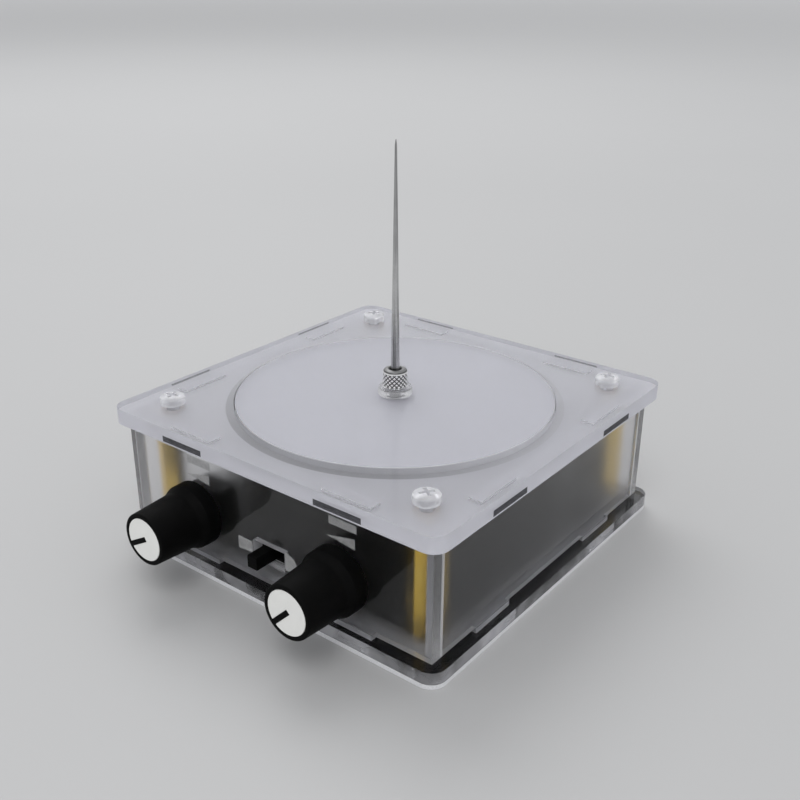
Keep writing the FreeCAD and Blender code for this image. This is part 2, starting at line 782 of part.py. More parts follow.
def power_socket():
    case = box("jack_case", ("jack_width", "jack_depth", "jack_height"),
               (f"{JACK_X} - jack_width / 2", f"{WALL_BACK} - jack_depth", BOARD_TOP))
    nose = rod("jack_nose", "jack_nose_radius", "jack_nose_length", (JACK_X, WALL_BACK, JACK_Z), "y")
    blank = fuse("jack_blank", [case, nose])
    floor = (JACK_X, f"{WALL_BACK} + jack_nose_length - jack_bore_depth", JACK_Z)
    bore = rod("jack_bore", "jack_bore_radius", "jack_bore_depth + overrun", floor, "y")
    node("power_socket", cut("power_socket", blank, bore))
    node("power_socket_pin", rod("power_socket_pin", "jack_pin_radius", "jack_pin_length", floor, "y"))


# Coils


def tube(label, inner, outer, bottom, height):
    shell = rod(f"{label}_outside", outer, height, ("0", "0", bottom))
    bore = rod(f"{label}_inside", inner, height, ("0", "0", bottom))
    return cut(label, shell, bore)


def secondary_coil():
    wall_height = f"{LID_UNDER} - {BOARD_TOP}"
    tube_wall = tube("former_tube", FORMER_INSIDE, FORMER_RADIUS, BOARD_TOP, wall_height)
    lead_hole = rod("lead_hole", "top_lead_radius + thread_clearance", "former_wall + 2 * overrun",
                    (f"{FORMER_INSIDE} - overrun", "0", f"{CLAMP_NUT_BOTTOM} + clamp_nut_height / 2"), "x")
    node("secondary_former", cut("secondary_former", tube_wall, lead_hole))
    winding = tube("secondary_winding", FORMER_RADIUS, f"{FORMER_RADIUS} + winding_thickness",
                   WINDING_BOTTOM, f"{WINDING_TOP} - {WINDING_BOTTOM}")
    node("secondary_winding", winding)
    sleeve = tube("primary_sleeve", FORMER_RADIUS, SLEEVE_RADIUS, BOARD_TOP, SLEEVE_HEIGHT)
    node("primary_sleeve", sleeve)


def arc_of_two_tangents(start, corner, end):
    """The arc that leaves start towards corner and reaches end from it."""
    middle = (start + end) / 2
    half_chord = (end - start).Length / 2
    to_corner = (corner - middle).Length
    radius = (corner - start).Length * half_chord / to_corner
    rise = radius - math.sqrt(radius ** 2 - half_chord ** 2)
    return Part.Arc(start, middle + (corner - middle) / to_corner * rise, end).toShape()


def pair_of_arcs(start, start_way, end, end_way):
    """Two arcs that join two points and both directions smoothly."""
    across = end - start
    square = 2 * (start_way.dot(end_way) - 1)
    linear = -2 * across.dot(start_way + end_way)
    reach = (-linear - math.sqrt(linear ** 2 - 4 * square * across.dot(across))) / (2 * square)
    corner_1 = start + start_way * reach
    corner_2 = end - end_way * reach
    meeting = (corner_1 + corner_2) / 2
    return [arc_of_two_tangents(start, corner_1, meeting), arc_of_two_tangents(meeting, corner_2, end)]


def primary_path():
    """Straight lead, whole turns as quarter-turn pairs of arcs, straight lead."""
    radius, pitch, lead = value(COIL_RADIUS), value("turn_pitch"), value("lead_length")
    bottom = value(f"{BOARD_TOP} + first_turn_height")
    quarters = 4 * int(value("turn_count"))

    def point(quarter):
        angle = math.radians(90 + 90 * quarter)
        height = bottom + pitch * quarter / 4
        return FreeCAD.Vector(radius * math.cos(angle), radius * math.sin(angle), height)

    def way(quarter):
        angle = math.radians(90 + 90 * quarter)
        rise = 0 if quarter in (0, quarters) else pitch / (2 * math.pi)
        direction = FreeCAD.Vector(-radius * math.sin(angle), radius * math.cos(angle), rise)
        return direction.normalize()

    start, end = point(0), point(quarters)
    edges = [Part.LineSegment(start - way(0) * lead, start).toShape()]
    for quarter in range(quarters):
        edges += pair_of_arcs(point(quarter), way(quarter), point(quarter + 1), way(quarter + 1))
    edges.append(Part.LineSegment(end, end + way(quarters) * lead).toShape())
    return Part.Wire(edges)


def least_gap(path, wire_radius, skip):
    """The least clear gap of a tube to itself, measured between points along its path."""
    points = path.discretize(Distance=wire_radius)
    step = path.Length / (len(points) - 1)
    far = int(skip / step)
    nearest = min((a - b).Length for i, a in enumerate(points) for b in points[i + far:])
    return nearest - 2 * wire_radius


def primary_coil():
    path = primary_path()
    start = path.OrderedEdges[0]
    wire_radius = value("wire_radius")
    section = Part.Circle(start.Vertexes[0].Point, start.tangentAt(start.FirstParameter), wire_radius)
    coil = doc.addObject("Part::Feature", "primary_coil")
    coil.Shape = path.makePipeShell([Part.Wire(section.toShape())], True, False)
    node("primary_coil", coil)
    print("primary wire length", round(path.Length, 1), "volume over section times length",
          round(coil.Shape.Volume / (math.pi * wire_radius ** 2 * path.Length), 4))
    print("least gap of the primary wire to itself", round(least_gap(path, wire_radius, path.Length / 6), 3))

    posts = []
    half_post = "terminal_post_width / 2"
    turns_height = "turn_pitch * turn_count"
    for number, (sign, climb) in enumerate(((1, "0"), (-1, turns_height)), start=1):
        x = f"{sign} * (lead_length + {half_post}) - {half_post}"
        height = f"first_turn_height + {climb} + terminal_post_cover"
        posts.append(box(f"post_{number}", ("terminal_post_width", "terminal_post_width", height),
                         (x, f"{COIL_RADIUS} - {half_post}", BOARD_TOP)))
    node("primary_terminals", group("primary_terminals", posts))


# Discharge terminal


def discharge_terminal():
    stud_bottom = f"({CLAMP_NUT_BOTTOM} - stud_tail)"
    node("terminal_stud", rod("terminal_stud", "stud_radius", f"{STUD_TOP} - {stud_bottom}",
                              ("0", "0", stud_bottom)))

    nut = hexagon("clamp_nut_blank", "clamp_nut_radius", "clamp_nut_height", ("0", "0", CLAMP_NUT_BOTTOM),
                  turn=30)
    nut_bore = rod("clamp_nut_bore", "stud_radius + thread_clearance", "clamp_nut_height",
                   ("0", "0", CLAMP_NUT_BOTTOM))
    node("clamp_nut", cut("clamp_nut", nut, nut_bore))

    flat_distance = "clamp_nut_radius * cos(30)"
    lead = rod("top_lead", "top_lead_radius", f"{FORMER_RADIUS} - {flat_distance}",
               (flat_distance, "0", f"{CLAMP_NUT_BOTTOM} + clamp_nut_height / 2"), "x")
    node("top_lead", lead)

    washer = tube("terminal_washer", "stud_radius + screw_clearance", "washer_radius", "case_height",
                  "washer_height")
    node("terminal_washer", washer)


def knurled_nut():
    nut = body("knurled_nut")
    profile = sketch(nut, "knurled_nut_profile", "XZ_Plane")
    stud_bore = "(stud_radius + thread_clearance)"
    seat_bore = "(needle_radius + needle_clearance)"
    polygon(profile, [
        (stud_bore, NUT_BOTTOM), ("knurled_nut_radius", NUT_BOTTOM),
        ("knurled_nut_radius", f"({NUT_TOP} - knurled_nut_bevel)"),
        ("(knurled_nut_radius - knurled_nut_bevel)", NUT_TOP), (seat_bore, NUT_TOP),
        (seat_bore, NEEDLE_BOTTOM), (stud_bore, NEEDLE_BOTTOM),
    ])
    revolve(nut, "knurled_nut_turning", profile)
    doc.recompute()
    groove = sketch(nut, "knurl_outline", "XY_Plane", NUT_BOTTOM)
    polygon(groove, [
        ("(knurled_nut_radius - knurl_depth)", "0"),
        ("(knurled_nut_radius + knurl_depth)", "-2 * knurl_depth"),
        ("(knurled_nut_radius + knurl_depth)", "2 * knurl_depth"),
    ])
    first = pocket(nut, "knurl_groove", groove, "knurled_nut_height")
    doc.recompute()
    knurl = nut.newObject("PartDesign::PolarPattern", "knurl")
    knurl.Originals = [first]
    knurl.Axis = (groove, ["N_Axis"])
    knurl.Angle = 360
    bind(knurl, "Occurrences", "knurl_count")
    nut.Tip = knurl
    node("knurled_nut", nut)


def discharge_needle():
    needle = body("discharge_needle")
    profile = sketch(needle, "needle_profile", "XZ_Plane")
    polygon(profile, [
        ("0", NEEDLE_BOTTOM), ("needle_radius", NEEDLE_BOTTOM), ("needle_radius", NUT_TOP),
        ("needle_shoulder_radius", f"({NUT_TOP} + needle_length - needle_point_length)"),
        ("needle_point_radius", f"({NUT_TOP} + needle_length)"), ("0", f"({NUT_TOP} + needle_length)"),
    ])
    revolve(needle, "needle_turning", profile)
    node("discharge_needle", needle)


# Power stage


def heat_sink():
    sink = body("heat_sink")
    half = "heat_sink_width / 2"
    height = f"{HEAT_SINK_TOP} - {BOARD_TOP}"
    outline = sketch(sink, "heat_sink_outline", "XY_Plane", BOARD_TOP)
    rectangle(outline, (f"-{half}", HEAT_SINK_FRONT), (half, HEAT_SINK_BACK))
    pad(sink, "heat_sink_block", outline, height)
    pitch = "((heat_sink_width - fin_thickness) / (fin_count - 1))"
    slot = sketch(sink, "fin_slot_outline", "XY_Plane", BOARD_TOP)
    low = (f"(-{half} + fin_thickness)", f"({HEAT_SINK_FRONT} + heat_sink_web)")
    high = (f"(-{half} + {pitch})", f"({HEAT_SINK_BACK} + overrun)")
    rectangle(slot, low, high)
    first = pocket(sink, "fin_slot", slot, height)
    doc.recompute()
    slots = sink.newObject("PartDesign::LinearPattern", "fin_slots")
    slots.Originals = [first]
    slots.Direction = (slot, ["H_Axis"])
    bind(slots, "Occurrences", "fin_count - 1")
    bind(slots, "Length", f"{pitch} * (fin_count - 2)")
    sink.Tip = slots
    bores = []
    for side, sign in SIDES:
        start = (f"{sign} * transistor_spacing / 2", f"{HEAT_SINK_FRONT} - overrun", TAB_SCREW_Z)
        bores.append(rod(f"{side}_tab_bore", THREAD_BORE, "heat_sink_web + overrun", start, "y"))
    node("heat_sink", cut("drilled_heat_sink", sink, fuse("tab_bores", bores)))


def transistor(side, x):
    """A power transistor that stands against the heat sink on three legs."""
    tab_height = f"{TAB_TOP} - {TRANSISTOR_BOTTOM}"
    left = f"{x} - transistor_width / 2"
    case = box(f"{side}_transistor_case", ("transistor_width", "transistor_thickness - metal_tab_thickness",
                                           f"({tab_height}) * (1 - metal_tab_free_share)"),
               (left, f"{HEAT_SINK_FRONT} - transistor_thickness", TRANSISTOR_BOTTOM))
    metal_tab = box(f"{side}_metal_tab", ("transistor_width", "metal_tab_thickness", tab_height),
                    (left, TAB_FRONT, TRANSISTOR_BOTTOM))
    legs = []
    for leg in (-1, 0, 1):
        corner = (f"{x} + {leg} * leg_pitch - leg_width / 2", f"{TAB_FRONT} - leg_width", BOARD_TOP)
        legs.append(box(f"{side}_leg_{leg + 2}", ("leg_width", "leg_width", "leg_length"), corner))
    blank = fuse(f"{side}_transistor_blank", [case, metal_tab] + legs)
    hole = rod(f"{side}_tab_hole", SCREW_HOLE, "metal_tab_thickness + 2 * overrun",
               (x, f"{TAB_FRONT} - overrun", TAB_SCREW_Z), "y")
    return cut(f"{side}_transistor", blank, hole)


def transistor_screw(side, x):
    head = rod(f"{side}_tab_screw_head", "board_screw_head_radius", "tab_screw_head_height",
               (x, TAB_FRONT, TAB_SCREW_Z), "-y")
    shank = rod(f"{side}_tab_screw_shank", "screw_radius", "tab_screw_length",
                (x, TAB_FRONT, TAB_SCREW_Z), "y")
    return fuse(f"{side}_tab_screw", [head, shank])


def power_stage():
    heat_sink()
    places = [(side, f"{sign} * transistor_spacing / 2") for side, sign in SIDES]
    node("power_transistors", group("power_transistors", [transistor(*place) for place in places]))
    node("transistor_screws", group("transistor_screws", [transistor_screw(*place) for place in places]))
    cans = [rod(f"{side}_capacitor", "capacitor_radius", "capacitor_height",
                (f"{sign} * capacitor_spacing / 2", CAPACITOR_ROW, BOARD_TOP)) for side, sign in SIDES]
    node("filter_capacitors", group("filter_capacitors", cans))
    film = box("film_capacitor", ("film_capacitor_width", "film_capacitor_depth", "film_capacitor_height"),
               ("-film_capacitor_width / 2", f"{CAPACITOR_ROW} - film_capacitor_depth / 2", BOARD_TOP))
    node("film_capacitor", film)
    chip = box("driver_chip", ("chip_width", "chip_depth", "chip_height"),
               ("-chip_width / 2", f"{CHIP_ROW} - chip_depth / 2", BOARD_TOP))
    node("driver_chip", chip)


bottom_board()
base_plate()
top_plate()
centre_disc()
front_panel()
rear_panel()
side_panels()
corner_pillars()
top_screws()
bottom_screws()
circuit_board()
board_fasteners()
controls()
slide_switch()
power_socket()
secondary_coil()
primary_coil()
discharge_terminal()
knurled_nut()
discharge_needle()
power_stage()
doc.recompute()

failed = [thing.Name for thing in doc.Objects if {"Invalid", "Error"} & set(thing.State)]
if failed:
    raise SystemExit(f"these objects did not compute: {failed}")
for label, thing in NODES.items():
    shape = thing.Shape
    if shape.isNull() or not shape.isValid() or not shape.Solids:
        raise SystemExit(f"{label} has no valid solid")
for label, thing in NODES.items():
    thing.Shape.exportStep(f"parts/{label}.step")
print(len(NODES), "sub-parts written")
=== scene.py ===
"""Looks of the desktop resonant transformer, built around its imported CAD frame.

Lengths in this file are in millimetres and become metres where a mesh is made.
"""

import math

import bmesh
import bpy
from mathutils import Matrix, Vector


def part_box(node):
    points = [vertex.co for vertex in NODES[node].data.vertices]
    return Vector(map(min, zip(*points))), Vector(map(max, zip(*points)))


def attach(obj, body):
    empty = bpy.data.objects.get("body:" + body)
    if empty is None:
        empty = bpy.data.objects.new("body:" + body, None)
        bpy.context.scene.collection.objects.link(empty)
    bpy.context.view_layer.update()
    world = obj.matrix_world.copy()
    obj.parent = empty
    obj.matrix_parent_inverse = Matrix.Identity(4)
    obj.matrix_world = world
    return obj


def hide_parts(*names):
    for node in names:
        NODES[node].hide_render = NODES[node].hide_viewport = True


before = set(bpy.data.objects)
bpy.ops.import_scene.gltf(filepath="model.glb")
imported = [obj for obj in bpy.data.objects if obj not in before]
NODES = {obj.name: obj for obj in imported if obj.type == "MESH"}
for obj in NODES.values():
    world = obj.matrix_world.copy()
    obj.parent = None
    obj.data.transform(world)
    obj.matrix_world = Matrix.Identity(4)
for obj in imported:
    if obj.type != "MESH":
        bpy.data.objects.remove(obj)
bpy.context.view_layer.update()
MM = 0.001


def lowest(node, axis):
    """Where a CAD node begins along an axis, in millimetres."""
    return round(getattr(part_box(node)[0], axis) / MM, 2)


def highest(node, axis):
    """Where a CAD node ends along an axis, in millimetres."""
    return round(getattr(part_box(node)[1], axis) / MM, 2)


# Places taken over from the CAD, in millimetres
BASE_TOP = highest("base_plate", "z")
LID_UNDER = lowest("top_plate", "z")
LID_TOP = highest("top_plate", "z")
DISC_GAP = 0.3
DISC_OPENING = highest("centre_disc", "x") + DISC_GAP
WALL_BACK = lowest("right_panel", "x")
PANEL_FACE = highest("right_panel", "x")
WASHER_TOP = highest("terminal_washer", "z")
WASHER_RADIUS = highest("terminal_washer", "x")
NUT_TOP = highest("knurled_nut", "z")
NUT_RADIUS = highest("knurled_nut", "x")
NEEDLE_FOOT = lowest("discharge_needle", "z")
NEEDLE_TIP = highest("discharge_needle", "z")
NEEDLE_RADIUS = highest("discharge_needle", "x")
KNOB_X = (lowest("right_pot_nut", "x") + highest("right_pot_nut", "x")) / 2
KNOB_Z = (lowest("right_pot_nut", "z") + highest("right_pot_nut", "z")) / 2
KNOB_FRONT = round(-lowest("left_knob", "y") - PANEL_FACE, 2)
KNOB_FOOT = round(-highest("left_knob", "y") - PANEL_FACE, 2)
CAP_FLOOR = round(-highest("left_knob_cap", "y") - PANEL_FACE, 2)
SCREW_TIP = lowest("top_screws", "z")
HEAD_TOP = highest("top_screws", "z")
HEAD_RADIUS = 3.1
CORNER = round(highest("top_screws", "x") - HEAD_RADIUS, 2)
WINDING_RADIUS = highest("secondary_winding", "x")
WINDING_BOTTOM = lowest("secondary_winding", "z")
WINDING_TOP = highest("secondary_winding", "z")
FORMER_RADIUS = highest("secondary_former", "x")

# Places that have no box of their own in the frame, in millimetres
SHEET_SIDE = highest("top_plate", "x") - 1.5
TAB_MIDDLE = 24.0
TAB_HALF = 6.6
WINDOW_HALF = 6.0
# the painted highlight on the window's cut faces starts above the window's bottom face
WINDOW_LOW, WINDOW_HIGH = 10.5, 18.0

# Turns of the two pointers in the photograph, in degrees
KNOB_ANGLES = {"left": -120.0, "right": -135.0}

# Signs of the places that come in twos and fours
SIDES = {"left": -1, "right": 1}
CORNER_SIGNS = ((-1, -1), (1, -1), (1, 1), (-1, 1))

# How strongly acrylic bends light
ACRYLIC_INDEX = 1.49


# Shader nodes


class Shader:
    """A material whose nodes are made by short calls."""

    def __init__(self, name):
        self.material = bpy.data.materials.new(name)
        self.material.use_nodes = True
        self.tree = self.material.node_tree
        self.tree.nodes.clear()
        self.place = self.add("ShaderNodeTexCoord").outputs["Object"]
        self.normal = self.add("ShaderNodeTexCoord").outputs["Normal"]

    def add(self, kind, inputs=None, **settings):
        """A node with its inputs linked or filled in."""
        node = self.tree.nodes.new(kind)
        for key, setting in settings.items():
            setattr(node, key, setting)
        for key, given in (inputs or {}).items():
            socket = node.inputs[key]
            if isinstance(given, bpy.types.NodeSocket):
                self.tree.links.new(given, socket)
            else:
                socket.default_value = given
        return node

    def stretched(self, scale):
        """The place on the object, scaled along each axis."""
        return self.add("ShaderNodeMapping", {"Vector": self.place, "Scale": scale}).outputs["Vector"]

    def in_mm(self):
        """The place on the object in millimetres."""
        return self.stretched((1 / MM, 1 / MM, 1 / MM))

    def noise(self, per_mm, detail=3.0, rough=0.5, stretch=(1, 1, 1), distortion=0.0):
        """Soft noise with a number of features in a millimetre."""
        scale = tuple(s / MM for s in stretch)
        node = self.add("ShaderNodeTexNoise", {"Vector": self.stretched(scale), "Scale": per_mm,
                                               "Detail": detail, "Roughness": rough,
                                               "Distortion": distortion})
        return node.outputs["Fac"]

    def range(self, fac, low, high, start=0.0, end=1.0):
        """A number moved from one range into another, and held inside it."""
        node = self.add("ShaderNodeMapRange", {"Value": fac, "From Min": start, "From Max": end,
                                               "To Min": low, "To Max": high})
        return node.outputs["Result"]

    def math(self, operation, first, second=0.0):
        return self.add("ShaderNodeMath", {0: first, 1: second}, operation=operation).outputs[0]

    def inverse(self, mask):
        """1 where a mask is 0, and 0 where it is 1."""
        return self.math("SUBTRACT", 1.0, mask)

    def axis(self, vector, name):
        return self.add("ShaderNodeSeparateXYZ", {0: vector}).outputs[name]

    def mix(self, fac, first, second):
        """The first colour where fac is 0 and the second where it is 1."""
        node = self.add("ShaderNodeMix", data_type="RGBA")
        for key, given in ((0, fac), (6, first), (7, second)):
            socket = node.inputs[key]
            if isinstance(given, bpy.types.NodeSocket):
                self.tree.links.new(given, socket)
            else:
                socket.default_value = given
        return node.outputs[2]

    def bump(self, height, depth, normal=None, strength=1.0):
        """Relief with a depth in millimetres."""
        inputs = {"Height": height, "Distance": depth * MM, "Strength": strength}
        if normal is not None:
            inputs["Normal"] = normal
        return self.add("ShaderNodeBump", inputs).outputs["Normal"]

    def principled(self, **inputs):
        """A surface whose inputs are named with underscores for spaces."""
        named = {key.replace("_", " "): given for key, given in inputs.items()}
        return self.add("ShaderNodeBsdfPrincipled", named).outputs["BSDF"]

    def blend(self, fac, first, second):
        """The first surface where fac is 0 and the second where it is 1."""
        return self.add("ShaderNodeMixShader", {0: fac, 1: first, 2: second}).outputs[0]

    def finish(self, surface):
        """The material, once its surface is linked up."""
        self.add("ShaderNodeOutputMaterial", {"Surface": surface})
        return self.material


def grey(level, blue=0.0):
    """A grey colour, with a little blue added where it is asked for."""
    return (level, level, level + blue, 1.0)


def worn_edges(shader, width=0.25):
    """Nearly 1 along sharp edges and 0 on flat faces."""
    soft = shader.add("ShaderNodeBevel", {"Radius": width * MM}, samples=6).outputs["Normal"]
    plain = shader.add("ShaderNodeNewGeometry").outputs["Normal"]
    same = shader.add("ShaderNodeVectorMath", {0: soft, 1: plain}, operation="DOT_PRODUCT").outputs["Value"]
    return shader.range(same, 1.0, 0.0, 0.8, 0.995)


def cut_face(shader, sheet_axis):
    """1 on the cut edges of a sheet whose faces look along the given axis."""
    along = shader.math("ABSOLUTE", shader.axis(shader.normal, sheet_axis))
    return shader.math("LESS_THAN", along, 0.75)


def cut_striations(shader, sheet_axis):
    """Fine lines that a laser leaves across the thickness of a sheet."""
    stretch = {"X": (0.08, 1, 1), "Y": (1, 0.08, 1), "Z": (1, 1, 0.08)}[sheet_axis]
    fine = shader.noise(6.0, 2.0, 0.6, stretch)
    broad = shader.noise(0.9, 2.0, 0.5, stretch)
    return shader.math("ADD", fine, broad)


def either(shader, mask, inside, outside):
    """One number where the mask is 1 and another where it is 0."""
    return shader.math("ADD", shader.math("MULTIPLY", mask, inside),
                       shader.math("MULTIPLY", shader.inverse(mask), outside))


def off_middle(shader, axis):
    """How far a point is from the case's middle along one axis."""
    return shader.math("ABSOLUTE", shader.axis(shader.place, axis))


def reach(shader):
    """How far a point is from the case's middle, along X or Y, whichever is more."""
    return shader.math("MAXIMUM", off_middle(shader, "X"), off_middle(shader, "Y"))


def beside(shader):
    """The lesser of |x| and |y|: how far along its side a point near the rim lies."""
    return shader.math("MINIMUM", off_middle(shader, "X"), off_middle(shader, "Y"))


def between(shader, number, low, high):
    """1 where a number lies between two others."""
    above = shader.math("GREATER_THAN", number, low)
    return shader.math("MULTIPLY", above, shader.math("LESS_THAN", number, high))


def distance(shader):
    """How far a point is from the upright axis through the case's middle."""
    across = shader.math("POWER", shader.axis(shader.place, "X"), 2.0)
    along = shader.math("POWER", shader.axis(shader.place, "Y"), 2.0)
    return shader.math("SQRT", shader.math("ADD", across, along))


def scattering(shader, colour, normal):
    """Light scattered back and let through by a rough face."""
    back = shader.add("ShaderNodeBsdfDiffuse", {"Color": colour, "Normal": normal}).outputs[0]
    through = shader.add("ShaderNodeBsdfTranslucent", {"Color": colour, "Normal": normal}).outputs[0]
    return shader.blend(0.25, back, through)


def clear_base():
    """Clear sheet lying flat: polished outside, white where the slots were cut."""
    s = Shader("clear_base")
    edge = cut_face(s, "Z")
    outside = s.math("GREATER_THAN", reach(s), SHEET_SIDE * MM)
    inside = s.math("MULTIPLY", edge, s.inverse(outside))
    smear = s.noise(0.05, 4.0, 0.6)
    cut_roughness = s.range(s.noise(1.5, 3.0), 0.08, 0.2)
    roughness = either(s, edge, cut_roughness, s.range(smear, 0.02, 0.07, 0.35, 0.7))
    relief = s.math("MULTIPLY", edge, cut_striations(s, "Z"))
    normal = s.bump(relief, 0.02, s.bump(s.noise(0.02, 1.0), 0.05))
    sheet = s.principled(Base_Color=grey(0.95, 0.01), Roughness=roughness, IOR=ACRYLIC_INDEX,
                         Specular_Tint=grey(0.3), Transmission_Weight=1.0, Normal=normal)
    white = scattering(s, grey(0.85, 0.03), normal)
    glint = s.range(s.noise(0.11, 1.5, 0.5), 0.06, 0.4, 0.36, 0.64)
    share = s.math("ADD", s.math("MULTIPLY", edge, glint), s.math("MULTIPLY", inside, 0.55))
    return s.finish(s.blend(share, sheet, white))


def painted_joint_highlight(shader, sheet_axis, edge):
    """1 where a painted highlight runs along the joint of two walls: on the ends' inner rim, or on the
    faces beside the ends.
    """
    along = off_middle(shader, "Y")
    if sheet_axis == "X":
        near = shader.math("GREATER_THAN", along, (WALL_BACK - 0.6) * MM)
        return shader.math("MULTIPLY", near, shader.inverse(edge))
    return shader.math("MULTIPLY", edge, shader.math("LESS_THAN", along, (WALL_BACK + 0.25) * MM))


def lit_window_edges(shader, edge):
    """1 on the cut edges of the window that the switch's slider stands in, above its bottom face: a painted
    highlight.
    """
    across = shader.math("LESS_THAN", off_middle(shader, "X"), WINDOW_HALF * MM)
    height = shader.axis(shader.place, "Z")
    opening = shader.math("MULTIPLY", across, between(shader, height, WINDOW_LOW * MM, WINDOW_HIGH * MM))
    return shader.math("MULTIPLY", opening, edge)


def clear_wall(sheet_axis):
    """Upright clear sheet: polished outside with faint smears, satin inside, and a painted reflection as a
    whitish band low on its inner face.
    """
    s = Shader(f"clear_wall_{sheet_axis}")
    edge_share = {"X": 0.45, "Y": 0.15}[sheet_axis]
    edge = cut_face(s, sheet_axis)
    height = s.axis(s.place, "Z")
    inner = s.math("LESS_THAN", off_middle(s, sheet_axis), (WALL_BACK + 0.3) * MM)
    joint_highlight = painted_joint_highlight(s, sheet_axis, edge)
    window = lit_window_edges(s, edge)
    smear = s.noise(0.05, 4.0, 0.6)
    face_roughness = either(s, inner, s.range(smear, 0.29, 0.36, 0.35, 0.7),
                            s.range(smear, 0.02, 0.07, 0.35, 0.7))
    roughness = either(s, edge, s.range(s.noise(1.5, 3.0), 0.12, 0.26), face_roughness)
    # painted reflection: a blotchy whitish band low on the inner face, fading out upwards
    cloud = s.range(s.noise(0.08, 3.0), 0.8, 1.15, 0.3, 0.7)
    fade = s.range(height, 0.55, 0.0, (BASE_TOP + 1.0) * MM, (BASE_TOP + 4.8) * MM)
    foot = s.math("MULTIPLY", fade, cloud)
    below = s.math("MULTIPLY", s.math("LESS_THAN", height, BASE_TOP * MM), 0.3)
    haze = s.math("ADD", below, s.math("MULTIPLY", inner, foot))
    relief = s.math("MULTIPLY", edge, cut_striations(s, sheet_axis))
    normal = s.bump(relief, 0.02, s.bump(s.noise(0.02, 1.0), 0.05))
    sheet = s.principled(Base_Color=grey(0.97, 0.01), Roughness=roughness, IOR=ACRYLIC_INDEX,
                         Specular_Tint=grey(0.3), Transmission_Weight=1.0, Normal=normal)
    white = scattering(s, grey(0.8, 0.02), normal)
    sole = s.math("MULTIPLY", edge, s.math("LESS_THAN", height, (BASE_TOP + 0.2) * MM))
    share = s.math("ADD", either(s, edge, edge_share, haze), s.math("MULTIPLY", sole, 0.5))
    # painted highlight: pale lines where the walls meet
    share = s.math("MAXIMUM", share, s.math("MULTIPLY", joint_highlight, 0.75))
    # painted highlight: the window's upper cut faces painted pale, its bottom face left clear
    share = s.math("ADD", share, s.math("MULTIPLY", window, 0.75))
    return s.finish(s.blend(share, sheet, white))


def painted_tab_shade(shader):
    """1 where the lid's rim is painted with shade in front of the slots that hold the walls' tabs."""
    height = shader.axis(shader.place, "Z")
    low = between(shader, height, (LID_UNDER + 0.4) * MM, (LID_UNDER + 1.9) * MM)
    wide = between(shader, beside(shader), (TAB_MIDDLE - TAB_HALF) * MM, (TAB_MIDDLE + TAB_HALF) * MM)
    return shader.math("MULTIPLY", low, wide)


